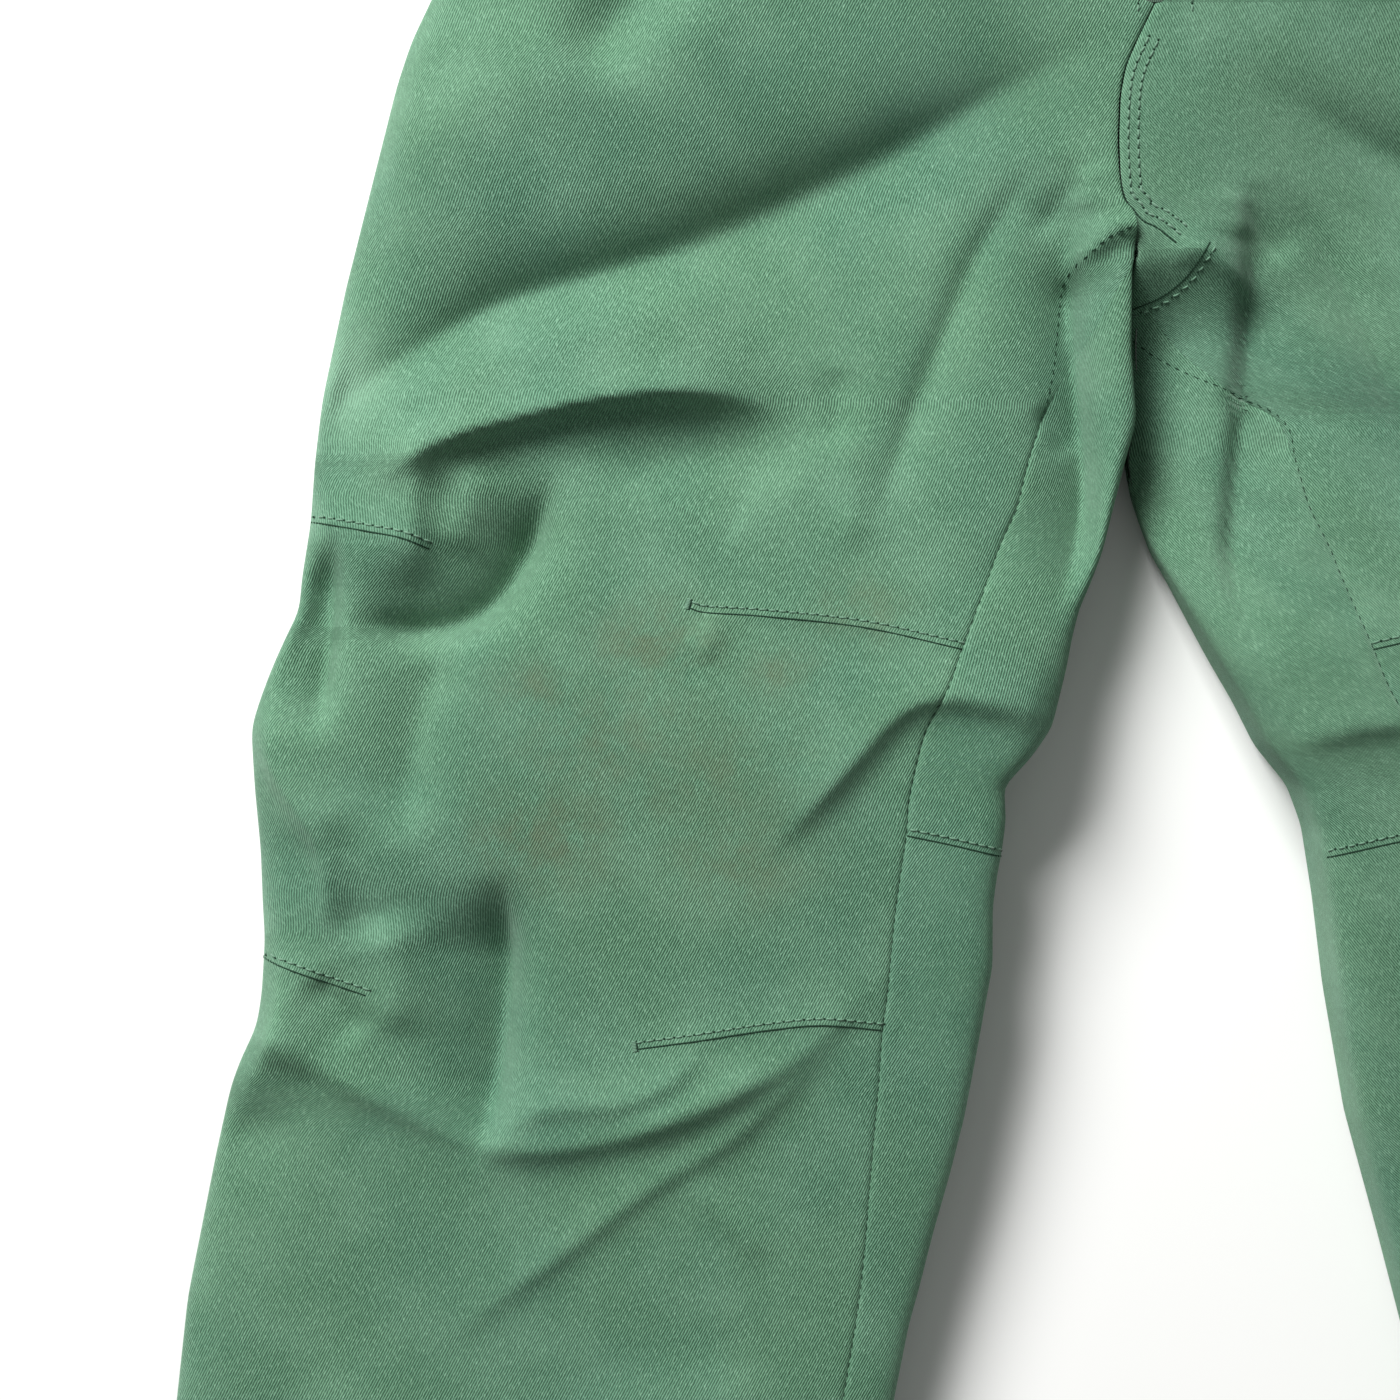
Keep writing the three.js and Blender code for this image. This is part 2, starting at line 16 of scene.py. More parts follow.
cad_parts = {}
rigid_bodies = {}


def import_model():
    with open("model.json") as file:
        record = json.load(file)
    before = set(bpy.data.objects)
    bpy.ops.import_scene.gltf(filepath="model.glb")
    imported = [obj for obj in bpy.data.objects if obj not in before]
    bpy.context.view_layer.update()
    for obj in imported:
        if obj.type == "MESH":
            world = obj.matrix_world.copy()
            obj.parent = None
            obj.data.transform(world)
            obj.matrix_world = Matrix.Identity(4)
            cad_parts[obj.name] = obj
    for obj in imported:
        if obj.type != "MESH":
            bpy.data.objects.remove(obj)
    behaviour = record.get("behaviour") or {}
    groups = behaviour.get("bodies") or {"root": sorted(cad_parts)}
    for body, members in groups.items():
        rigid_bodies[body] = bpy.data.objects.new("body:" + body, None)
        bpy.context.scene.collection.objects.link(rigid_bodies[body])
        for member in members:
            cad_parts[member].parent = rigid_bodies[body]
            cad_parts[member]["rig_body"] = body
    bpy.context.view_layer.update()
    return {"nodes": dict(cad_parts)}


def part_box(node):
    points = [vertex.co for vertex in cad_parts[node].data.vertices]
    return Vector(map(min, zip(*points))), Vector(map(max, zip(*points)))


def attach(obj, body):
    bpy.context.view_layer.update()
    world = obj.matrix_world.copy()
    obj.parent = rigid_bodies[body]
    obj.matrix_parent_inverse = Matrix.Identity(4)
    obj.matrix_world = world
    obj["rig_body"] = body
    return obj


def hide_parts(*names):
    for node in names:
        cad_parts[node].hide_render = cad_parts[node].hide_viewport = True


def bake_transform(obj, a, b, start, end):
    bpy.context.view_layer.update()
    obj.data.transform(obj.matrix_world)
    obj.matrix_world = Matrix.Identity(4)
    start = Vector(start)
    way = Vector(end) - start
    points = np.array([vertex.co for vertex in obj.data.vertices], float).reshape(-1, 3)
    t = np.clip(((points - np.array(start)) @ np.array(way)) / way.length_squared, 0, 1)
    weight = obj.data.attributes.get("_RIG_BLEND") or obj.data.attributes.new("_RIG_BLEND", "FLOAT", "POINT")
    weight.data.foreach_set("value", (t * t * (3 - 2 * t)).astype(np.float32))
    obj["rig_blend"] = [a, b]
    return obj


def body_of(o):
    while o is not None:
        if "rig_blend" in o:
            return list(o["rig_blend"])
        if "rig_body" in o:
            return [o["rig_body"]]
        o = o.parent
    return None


# ---------------------------------------------------------------- driving dimensions, in mm
MM = 0.001
CROTCH_Y = 113.72  # the crotch in the row frame
RISE = 205
WAISTBAND = 34
HEM_OUTER_Y = -397.3
HEM_INNER_Y = -432.5
HEM_BAND = 12
KNEE = (-134, -142)
SPLAY = math.radians(11)
BACK_LIFT = 6.95  # the back waistband lies on its belt loops
CLOTH = 0.7
STITCH_PITCH = 2.7
STITCH_LENGTH = 2.0
EDGE_STITCH = 1.8  # edge stitching from its seam
LEG_LENGTH = 410
SPLIT_Q = 0.15  # where the cloth that follows the hip meets the cloth that follows the knee
SPLIT_Y = -72  # the same place for stitches, in mm from the crotch
ROW_STEP = 1.7
SIDES = {"right": -1, "left": 1}
POCKET_MIDDLE = (-104.5, 116.0)  # centre of the wearer's right pocket opening
POCKET_WAY = (-0.642, -0.767)  # the way its slider opens
POCKET_LONG = 104.4
POCKET_WIDE = 9.2
THREAD = 0.29  # radius of the stitching
STITCH_HOLE = 0.8
STITCH_OUT = 0.08  # how far stitches stand out of the cloth
HOLE_IN = 0.02
STITCH_SPREAD = 0.06  # how far stitches vary, in their way and in their length
SUNK_STITCH = 1.7
SUNK_RADIUS = 0.17
SUNK_SPREAD = 0.12
SEAM_RADIUS = 0.25
SEAM_BAR = 1.4  # a seam's dark line of painted crevice shade is drawn in bars of this length
SEAM_PITCH = 0.9
SEAM_IN = 0.05
RANDOM = np.random.default_rng(11)

# ---------------------------------------------------------------- outline
# Outer fold of the wearer's right leg: (x, y) from the waist to the hem.
OUTER = [
    (-142, 205), (-147, 190), (-154, 171), (-165, 148), (-180, 115), (-193, 85), (-205, 60), (-209, 48),
    (-211, 40), (-215, 24), (-219, 8), (-223, -8), (-226, -24), (-229, -40), (-231, -57), (-232, -73),
    (-234.5, -89), (-235, -97), (-239, -105), (-242.5, -113), (-245.5, -121), (-248, -129), (-247.5, -138),
    (-247, -146), (-245.5, -162), (-245, -178), (-244.5, -186), (-245.5, -202), (-247, -211), (-251, -219),
    (-254, -227), (-258, -245), (-262, -265), (-266, -285), (-271, -330), (-275, -370), (-277, -397.3),
]
# Inner fold of each leg, from the crotch to the hem.
INNER = {
    "right": [
        (-7.5, 0), (-8.5, -4), (-8.5, -26), (-7, -44), (-7.5, -48), (-10, -57), (-12, -65), (-14, -73),
        (-16, -81), (-19, -89), (-22.5, -97), (-24.5, -105), (-26, -113), (-28, -121), (-30, -129),
        (-35.5, -137), (-43, -145), (-42.5, -154), (-43.5, -162), (-45, -170), (-46, -178), (-46, -194),
        (-47.5, -202), (-50.5, -219), (-53.5, -235), (-57.5, -251), (-62, -267), (-66, -283), (-68.5, -292),
        (-77, -335), (-87, -385), (-96.7, -432.5),
    ],
    "left": [
        (-6.9, 0), (-7.9, -4), (-7.9, -26), (-6.4, -44), (-7, -50), (-8, -55), (-6.5, -65), (-3.8, -73),
        (-0.8, -81), (2.2, -86), (8, -97), (15, -110), (22, -122), (28, -134), (37, -145), (41, -156),
        (44, -175), (47, -200), (53, -235), (62, -268), (69, -295), (77, -335), (87, -385), (96.7, -432.5),
    ],
}
# Centre seam in front, and the fly's edges above it: x by y, from the crotch up.
CENTRE_SEAM = [(3, 2), (-2, 6), (-6, 8), (-8.5, 11), (-11, 14), (-12, 20), (-12.4, 30), (-12, 42),
               (-10.5, 50), (-7, 58), (-3, 66), (-1, 72), (0, 80)]
FLY_FROM = 66
FLY_HALF = 5.5
# Where the two fronts meet: the centre seam, but straight down to the crotch at its end.
JOIN = [(-7.2, 0), (-7.8, 6), *CENTRE_SEAM[3:]]
# Inner leg seams, where the back panel comes round to the front: each leg's start, and the rest on the
# wearer's right, which the left leg mirrors.
INSEAM_START = {
    "right": [(-9, 1), (-11, -6), (-15, -15), (-20.5, -25), (-26, -34)],
    "left": [(-5.5, 1), (-5, -8), (-1, -17), (8, -28), (20, -38)],
}
INSEAM_REST = [
    (-32, -44), (-36.5, -57), (-39.5, -69), (-45, -81), (-47.5, -88), (-55, -107), (-59, -118),
    (-65.5, -131), (-69.5, -148), (-70, -157), (-71.5, -167), (-73.5, -182), (-75, -200), (-76.5, -211),
    (-77.5, -227), (-79.5, -250), (-81, -270), (-83.5, -291), (-91, -335), (-101, -385), (-110, -430),
]
INSEAM = {side: INSEAM_START[side] + [(-sign * x, y) for x, y in INSEAM_REST] for side, sign in SIDES.items()}
# The stitched lines at the crotch, where the panels' real edges show no seam of their own.
CROTCH_SEAM = {
    "right": [(-8.6, 6.3), (-14.9, 3.6), (-20.3, -0.9), (-24, -4.3), (-26.1, -8), (-27.4, -19), (-29, -32)],
    "left": [(-6.5, -22), (0, -27), (10, -33)],
}
GUSSET_SEAM = [(12, 2), (7, -6), (1.5, -10.8), (-4, -13.4), (-7.6, -14.6)]
CURL_FROM = (-45, -33)  # up the leg, the edges start to lie flat into each other here

# ---------------------------------------------------------------- folds
# (points, height, width on the left of its direction, width on the right, radius of its crest)
LEG_FOLDS = [
    # the thigh: cloth drops from the hip into a long valley
    ([(-250, -60), (-228, -45), (-205, -29), (-180, -14), (-155, -6), (-130, 2), (-100, 15), (-75, 27),
      (-45, 42), (-5, 62)], -16, 12, 40, 2.6),
    ([(-225, 14), (-190, 38), (-150, 54), (-100, 70)], 5.5, 17, 20, 9),
    ([(-228, -52), (-190, -34), (-150, -20), (-106, -10)], 5.5, 7, 18, 4),
    # the sharp arc above the knee
    ([(-220, -66), (-207, -58), (-194, -51), (-178, -46), (-155, -40.5), (-131, -38), (-112, -40.5),
      (-96, -47)], 11, 20, 3.6, 1.4),
    ([(-200, -42), (-203, -62), (-203, -94)], 7, 5, 12, 3),
    # the small bag of cloth beside the upper outer dart, and the crescent under it
    ([(-166, -58), (-169, -70), (-173, -82), (-183, -96), (-199, -102), (-226, -100)], -13, 3.5, 9, 2),
    ([(-184, -56), (-188, -70), (-194, -84)], 3, 6, 6, 4),
    ([(-146, -72), (-142, -60), (-128, -54), (-109, -55), (-96, -64)], -4, 10, 10, 7),
    ([(-192, -100), (-202, -126), (-207, -162)], -6, 6, 13, 3),
    ([(-225, -74), (-226, -92), (-227, -110), (-230, -134)], -9, 2.5, 9, 1.5),
    # the inner side of the knee
    ([(-20, -134), (-35, -126), (-50, -122), (-64, -121), (-74, -126), (-85, -138), (-97, -151),
      (-112, -166)], 5.5, 3.2, 22, 1.4),
    ([(-126, -99), (-122, -104), (-126, -112)], 1.6, 2.5, 5, 1),
    ([(-89, -30), (-88, -54)], -2, 3.5, 3.5, 2),
    ([(-88, -46), (-84, -66), (-86, -84)], 2, 6, 4, 2),
    # the inner thigh
    ([(-30, 30), (-40, 16), (-50, 0), (-60, -24), (-69, -47), (-79, -78)], -4, 7, 3.5, 1.5),
    ([(-22, 26), (-25, 4), (-24.5, -20), (-22.5, -44), (-21, -62), (-20.5, -80), (-26, -108)],
     -14, 3.5, 12, 1.6),
    ([(-20, 25), (-27, 14), (-36, 4)], -3, 3, 5, 1.2),
    ([(-36, -42), (-29, -47), (-24, -56)], -2, 3, 3, 1.5),
    ([(-22, 24), (-21, 10)], 2.5, 5, 3, 2),
    ([(-29, -12), (-24, -3), (-18, 2), (-10, 6.5), (2, 5)], 4.5, 6, 2.6, 1.3),
    ([(-40, -70), (-52, -96)], -1.5, 4, 4, 2),
    # below the knee
    ([(-181, -166), (-178.5, -190), (-179.5, -210), (-182, -228), (-189, -250)], -13, 3.5, 15, 2),
    ([(-224, -150), (-218, -172), (-213, -190)], -3, 7, 7, 4),
    ([(-212, -178), (-207, -196), (-210, -214)], 3.5, 7, 8, 4),
    ([(-232, -196), (-222, -206), (-216, -214)], -2.5, 5, 5, 2.5),
    # the crease under the knee, with a wide hollow at its outer end
    ([(-290, -190), (-262, -205), (-244, -213), (-226, -222)], 7, 12, 22, 3),
    ([(-284, -232), (-258, -238), (-232, -236)], -4, 8, 10, 5),
    ([(-272, -200), (-244, -212), (-222, -224), (-206, -232), (-187, -240.5), (-171, -242.5), (-152, -240),
      (-131, -234), (-112, -225), (-93, -212), (-70, -188)], 4.8, 18, 3.6, 1.4),
    ([(-186, -240), (-168, -232), (-147, -230), (-132, -223), (-121, -210)], 2.6, 8, 2.6, 1.2),
    ([(-150, -241), (-128, -231), (-104, -219)], 1.4, 3, 3, 1.2),
    # the shin
    ([(-200, -300), (-186, -288), (-163, -271), (-139, -253), (-118, -240), (-98, -222), (-86, -206)],
     2.6, 9, 2.8, 1.4),
    ([(-131, -250), (-120, -260), (-106, -275)], 1.5, 3, 2.4, 1.2),
    ([(-150, -300), (-140, -345), (-150, -390)], 3, 24, 24, 14),
    ([(-240, -310), (-205, -330), (-160, -332)], 2.5, 14, 18, 8),
    ([(-110, -300), (-125, -322), (-150, -330)], 2, 8, 10, 5),
    # the outer side of the knee
    ([(-262, -108), (-247, -130), (-236, -147), (-226, -165), (-226, -192)], 5, 14, 3, 1.5),
]
# Folds of the seat's front, right of the centre; the left side has them mirrored.
SEAT_FOLDS = [
    ([(-20, 60), (-60, 78), (-110, 88), (-160, 84)], 2.5, 10, 7, 6),
    ([(-30, 80), (-80, 108), (-140, 122)], 2.0, 9, 7, 6),
    ([(-150, 160), (-120, 148), (-85, 150)], -2.0, 8, 8, 5),
    ([(-18, 130), (-40, 146), (-60, 168)], -1.6, 6, 6, 4),
]
# Folds of the back, which lies on the floor: they only lift the cloth.
BACK_FOLDS = [
    ([(-40, -8), (-90, 4), (-150, 6), (-205, -6)], 3.0, 7, 10, 4),
    ([(-30, 40), (-90, 58), (-160, 52)], 2.5, 9, 12, 6),
    ([(-60, -128), (-110, -120), (-170, -124), (-220, -138)], 4.0, 5, 8, 3),
    ([(-62, -150), (-120, -142), (-190, -148), (-232, -158)], 3.5, 5, 7, 3),
    ([(-66, -172), (-130, -166), (-220, -178)], 3.0, 6, 8, 4),
    ([(-80, -260), (-130, -240), (-180, -245)], 2.0, 10, 10, 8),
    ([(-120, -330), (-180, -300), (-250, -305)], 2.0, 10, 12, 8),
    ([(-70, 120), (-66, 80), (-80, 60)], 2.0, 8, 8, 6),
]
CURVE_STEPS = 10
FADE = 0.3  # the share of a fold's line at each end over which it rises
FOLD_REACH = 5  # a fold ends this many of its widths away from its line
SHARPEST_CREST = 0.5


def smoothstep(v, low, high):
    t = np.clip((v - low) / (high - low), 0, 1)
    return t * t * (3 - 2 * t)


def bell(v, middle, reach):
    return np.exp(-(((v - middle) / reach) ** 2))


def curve(points):
    """Points along a smooth line through the given ones."""
    p = np.array(points, float)
    p = np.vstack([2 * p[0] - p[1], p, 2 * p[-1] - p[-2]])
    t = np.linspace(0, 1, CURVE_STEPS, endpoint=False)[:, None]
    spans = [
        0.5 * (2 * b + (c - a) * t + (2 * a - 5 * b + 4 * c - d) * t**2 + (3 * b - a - 3 * c + d) * t**3)
        for a, b, c, d in zip(p, p[1:], p[2:], p[3:])
    ]
    return np.vstack([*spans, p[-2:-1]])


def fold(x, y, points, height, left, right, crest):
    """Height that one fold adds at every (x, y), fading out towards both ends of its line."""
    line = curve(points)
    step = np.diff(line, axis=0)
    length = np.hypot(*step.T)
    start = np.concatenate([[0], np.cumsum(length)])
    reach = FOLD_REACH * max(left, right) + crest
    low, high = line.min(0) - reach, line.max(0) + reach
    near = (x > low[0]) & (x < high[0]) & (y > low[1]) & (y < high[1])
    out = np.zeros_like(x)
    if not near.any():
        return out
    px, py = x[near][:, None], y[near][:, None]
    t = ((px - line[:-1, 0]) * step[:, 0] + (py - line[:-1, 1]) * step[:, 1]) / length**2
    t = np.clip(t, 0, 1)
    dx = px - line[:-1, 0] - t * step[:, 0]
    dy = py - line[:-1, 1] - t * step[:, 1]
    distance = np.hypot(dx, dy)
    nearest = distance.argmin(1)
    i = np.arange(len(nearest))
    away = distance[i, nearest]
    side = (step[nearest, 0] * dy[i, nearest] - step[nearest, 1] * dx[i, nearest]) / length[nearest]
    along = (start[nearest] + t[i, nearest] * length[nearest]) / start[-1]
    width = right + (left - right) * (0.5 + 0.5 * np.tanh(side / max(crest, SHARPEST_CREST)))
    fade = smoothstep(np.minimum(along, 1 - along), 0, FADE)
    out[near] = height * fade * np.exp(-(np.sqrt(away**2 + crest**2) - crest) / width)
    return out


def relief(x, y, folds):
    return sum(fold(x, y, *f) for f in folds)


# ---------------------------------------------------------------- the shell's surface
def edge_line(points, soft=2.5, step=0.5, past=10):
    """x by y along an outline, with its corners eased over soft mm, and past its ends."""
    p = np.array(sorted(points, key=lambda q: q[1]), float)
    y = np.arange(p[0, 1] - past, p[-1, 1] + past, step)
    x = np.interp(y, p[:, 1], p[:, 0])
    reach = int(3 * soft / step)
    window = np.exp(-0.5 * (np.arange(-reach, reach + 1) * step / soft) ** 2)
    x = np.convolve(np.pad(x, reach, mode="edge"), window / window.sum(), mode="valid")
    return lambda q: np.interp(q, y, x)


outer_line = edge_line(OUTER)
inner_line = {side: edge_line(INNER[side], 1.5) for side in SIDES}
join_line = edge_line(JOIN, 1.5)
inseam_line = {side: edge_line(INSEAM[side], 2) for side in SIDES}

SEAT_POWER = 3.4  # how square the front of the seat is towards its outer fold
FRONT_POWER = (6.5, 10)  # how square the front of a leg is, at the outer and at the inner fold
BACK_POWER = 6
FLAT_BACK = 0.62  # the share of the back that lies flat
LEG_SECTION = 0.12  # the seat's section has become the leg's at this share of the leg
FRONT_HEIGHT = 30  # of the front over the floor, before its folds
KNEE_RISE = 6
KNEE_AT = (0.34, 0.16)  # the share of the leg at which the knee bulges, and its reach
KNEE_FROM = 0.1
HEM_FALL = 5
HEM_FALL_FROM = 0.5
FOLD_HEIGHT = 9  # of the folds at the sides
FOLD_FALL = 2
LIFT_FROM = 125  # the back starts to rise to its belt loops this far above the crotch
FOLD_STEPS = [0, 0.1, 0.5, 1.2, 2.3, 3.8, 5.6]  # columns near a side fold, in mm from it
SEAM_STEPS = [0, 0.4, 0.9, 1.6, 2.6, 4]  # columns near a seam
UNDER_BAND = 3  # the shell starts this far inside the waistband
SHELL_END = 0.975  # and ends at this share of the leg, inside the hem band
LOWEST_FRONT = 10.5  # no fold presses the front lower than this
PANEL_GAP = 0.15
FLY_OPENS = (FLY_FROM + 1, FLY_FROM + 3)
JOINED_TO = (8, 14)  # up from the crotch, the two fronts lie in one as far as this
STRAIGHT_FROM = (78, 80)
SEAM_ROUNDS = 3  # enough to find where a seam crosses a row
SEAM_LAST = 0.985
SEAM_EASE = 0.025  # the share of the leg over which the seam leaves the inner fold
CALM_EDGES = {"inner": 9, "outer": 7}  # folds fade out this near the sides
LEFT_FOLDS = {"down": 7, "share": 0.8}  # how the left leg's folds differ, in front and at the back
LEFT_BACK_FOLDS = {"down": 5, "share": 0.9}
LEFT_DROP = 0.75  # the left leg dives by this share beside the right one's inner fold
DROP_FLOOR = 3  # towards this height
DROP_AT = (-8, 26)  # around this x
DROP_FROM = (-2, 26)  # from here down the leg
DROP_TO = (60, 130)
CALM_REACH = 16  # no folds run this near the long sides of a hand pocket
CALM_PAST = 38  # or this near its ends
PULL_ROOM = 3.4  # the cloth is pressed in this far where the open pocket's pull lies
PULL_REACH = 8
PULL_FROM = (-12, 0)  # past the end of the pocket
PULL_TO = (20, 40)
CURL = 0.8  # how far a panel's edge turns down into its seam
CURL_REACH = 0.7
CROTCH_CLOSE = 6  # above the crotch, the two sides join over this much, and more towards the outer folds
CROTCH_SPREAD = 60
CROTCH_LIFT = 15  # just below it, the inner folds still lie this much higher, over this much of each leg
CROTCH_REACH = {"right": 44, "left": 15}
CROTCH_POWER = 3
EDGE_ROOM = 2.5  # a narrow row draws its edge columns in, so that it is this much wider than they are
COLUMNS = {"front": 118, "strip": 26, "back": 60}


class Rows:
    """Lines across one side of the garment, from the waist to the hem."""

    def __init__(self, side, y, q):
        """y is above the crotch, and q from 0 at the crotch to 1 at the hem."""
        self.side, self.q = side, q
        self.is_leg = y <= 0
        self.outer_y = np.where(self.is_leg, HEM_OUTER_Y * q, y)
        self.inner_y = np.where(self.is_leg, HEM_INNER_Y * q, y)
        sign = SIDES[side]
        self.outer_x = -sign * outer_line(self.outer_y)
        fly = FLY_HALF * smoothstep(y, *FLY_OPENS)
        apart = PANEL_GAP * smoothstep(y, *JOINED_TO)
        centre = join_line(y) * (1 - smoothstep(y, *STRAIGHT_FROM)) + sign * (fly + apart)
        self.inner_x = np.where(self.is_leg, inner_line[side](self.inner_y), centre)
        knee = bell(q, *KNEE_AT) * smoothstep(q, 0, KNEE_FROM)
        self.top = FRONT_HEIGHT + KNEE_RISE * knee - HEM_FALL * smoothstep(q, HEM_FALL_FROM, 1)
        self.mid = FOLD_HEIGHT - FOLD_FALL * smoothstep(q, 0, 1)
        self.base = BACK_LIFT * smoothstep(y, LIFT_FROM, RISE - WAISTBAND)
        self.rise = y
        self.lift = CROTCH_LIFT * bell(np.minimum(self.inner_y, 0), 0, CROTCH_REACH[side])
        fold = np.where(self.is_leg, self.inner_x, inner_line[side](0))
        self.to_fold = (self.inner_x - self.outer_x) / (fold - self.outer_x)

    def width(self):
        return np.hypot(self.inner_x - self.outer_x, self.inner_y - self.outer_y)

    def seam(self):
        """Where the inner leg seam crosses each row: 1 at the inner fold or centre, -1 at the outer fold."""
        a = np.ones_like(self.q)
        for _ in range(SEAM_ROUNDS):
            y = self.outer_y + (self.inner_y - self.outer_y) * (1 + a) / 2
            x = inseam_line[self.side](y)
            a = 2 * (x - self.outer_x) / (self.inner_x - self.outer_x) - 1
        a = 1 - (1 - np.clip(a, -1, SEAM_LAST)) * smoothstep(self.q, 0, SEAM_EASE)
        return np.where(self.is_leg, a, 1.0)

    def closed(self, a):
        """Places across a section that closes on itself at the inner fold."""
        return np.clip((1 + a) * self.to_fold[:, None] - 1, -1, 1)

    def opened(self, a):
        """From 0 where a section closes on itself to 1 where it runs on into the other side."""
        return smoothstep(self.rise[:, None] / (CROTCH_CLOSE + CROTCH_SPREAD * (1 - a) / 2), 0, 1)

    def points(self, a, front, inset=0.0):
        """The surface at places a, rows by columns, inset mm inside its outer face, and its fullness."""
        col = lambda v: v[:, None]
        rounded = lambda v, power: np.clip(1 - np.abs(v) ** power, 0, 1) ** (1 / power)
        if front:
            outer = SEAT_POWER + (FRONT_POWER[0] - SEAT_POWER) * col(smoothstep(self.q, 0, LEG_SECTION))
            fullness = lambda v: rounded(v, np.where(v < 0, outer, FRONT_POWER[1]))
        else:
            fullness = lambda v: np.minimum(1, rounded(v, BACK_POWER) / rounded(FLAT_BACK, BACK_POWER))
        opened = self.opened(a)
        full = fullness(self.closed(a)) * (1 - opened) + fullness((a - 1) / 2) * opened
        shrink = 2 * inset / col(self.width())
        place = (1 + a * (1 - shrink)) / 2 * (1 - opened) + (1 + a + shrink * (1 - a) / 2) / 2 * opened
        x = col(self.outer_x) + col(self.inner_x - self.outer_x) * place
        y = col(self.outer_y) + col(self.inner_y - self.outer_y) * place
        top, base = col(self.top) - inset, col(self.base) + inset
        mid = col(self.mid) + col(self.lift) * ((1 + self.closed(a)) / 2) ** CROTCH_POWER
        if front:
            z = mid + (top - mid) * full
        else:
            z = mid - (mid - base) * full
        return x, y, z, full


def rows_down(side, under_band, step, end, count):
    """Rows from so far under the waistband's lower edge to a share of the leg, count of them on the leg."""
    seat = np.arange(RISE - WAISTBAND + under_band, 0, -step)
    leg = np.linspace(0, end, count)
    return Rows(side, np.concatenate([seat, 0 * leg]), np.concatenate([0 * seat, leg]))


def columns(length, low_steps, high_steps, count):
    """Distances across rows of the given lengths, close together at both ends."""
    low, high = np.array(low_steps), np.array(high_steps)
    shrink = np.minimum(1, length / (EDGE_ROOM * (low[-1] + high[-1])))[:, None]
    inner = np.linspace(0, 1, count - len(low) - len(high) + 2)[1:-1][None, :]
    a, b = low[-1] * shrink, length[:, None] - high[-1] * shrink
    return np.hstack([low * shrink, a + (b - a) * inner, length[:, None] - high[::-1] * shrink])


def mirrored_folds(folds, sign, down=0.0, share=1.0):
    """The folds for one side: as drawn on the wearer's right, mirrored and a little changed on the left."""
    if sign < 0:
        return folds
    return [([(-x, y - down) for x, y in p], h * share, r, l, c) for p, h, l, r, c in folds]


def left_dive(x, y):
    """How deep the left leg lies beside the right one's inner fold, from 0 to 1."""
    return bell(x, *DROP_AT) * smoothstep(-y, *DROP_FROM) * (1 - smoothstep(-y, *DROP_TO))


def front_relief(x, y, side):
    """Height that the folds, darts and pockets add to the front."""
    sign = SIDES[side]
    legs = mirrored_folds(LEG_FOLDS, sign, **LEFT_FOLDS)
    folds = relief(x, y, legs) + relief(x, y, mirrored_folds(SEAT_FOLDS, sign))
    along, across = pocket_place(x * -sign, y)
    from_ends = POCKET_LONG / 2 + CALM_PAST - np.abs(along)
    calm = bell(across, 0, CALM_REACH) * smoothstep(from_ends, 0, CALM_REACH)
    past_end = along - POCKET_LONG / 2
    dent = smoothstep(past_end, *PULL_FROM) * (1 - smoothstep(past_end, *PULL_TO))
    dent = bell(across, 0, PULL_REACH) * dent
    return folds * (1 - calm) + dart_relief(x, y, sign) - PULL_ROOM * dent


def lay_front(rows, distance, inset=0.0):
    """The front with its folds, at distances across each row from its outer fold."""
    width = rows.width()[:, None]
    a = 2 * distance / width - 1
    x, y, z, _ = rows.points(a, True, inset)
    from_outer = smoothstep(distance, 0, CALM_EDGES["outer"])
    from_inner = smoothstep((1 - rows.closed(a)) * width / 2, 0, CALM_EDGES["inner"])
    edge = np.maximum(from_inner, rows.opened(a)) * from_outer
    z = np.maximum(z + front_relief(x, y, rows.side) * edge, np.minimum(z, LOWEST_FRONT - inset))
    if rows.side == "left":
        z = z - LEFT_DROP * left_dive(x, y) * (z - DROP_FLOOR)
    return np.stack([x, y, z], -1)


def lay_back(rows, distance, inset=0.0):
    """The back with its folds, at distances across each row from its inner fold."""
    a = 1 - 2 * distance / rows.width()[:, None]
    x, y, z, full = rows.points(a, False, inset)
    lift = relief(x, y, mirrored_folds(BACK_FOLDS, SIDES[rows.side], **LEFT_BACK_FOLDS))
    return np.stack([x, y, z + lift * full], -1)


def curl(points, distance):
    """Turns a panel's edge down into its seam, but for the join at the crotch."""
    y = points[..., 1]
    sewn = 1 - smoothstep(y, *CURL_FROM) * (1 - smoothstep(y, *JOINED_TO))
    points[..., 2] -= CURL * sewn * np.exp(-distance / CURL_REACH)
    return points


def front_panel(rows):
    """The front, from the outer fold to the inner leg seam or the centre."""
    to_seam = rows.width() * (1 + rows.seam()) / 2
    distance = columns(to_seam, FOLD_STEPS, SEAM_STEPS, COLUMNS["front"])
    return curl(lay_front(rows, distance), to_seam[:, None] - distance)


def back_panel(rows):
    """The back, with the strip of it that comes round to the front at the inner leg."""
    width = rows.width()
    strip = width * (1 - rows.seam()) / 2
    over = columns(strip, SEAM_STEPS, FOLD_STEPS[1:], COLUMNS["strip"])
    front = curl(lay_front(rows, width[:, None] - strip[:, None] + over), over)
    under = columns(width, FOLD_STEPS, FOLD_STEPS, COLUMNS["back"])
    back = lay_back(rows, under)
    front[~rows.is_leg] = back[~rows.is_leg][:, :1]
    return np.concatenate([front, back], 1)


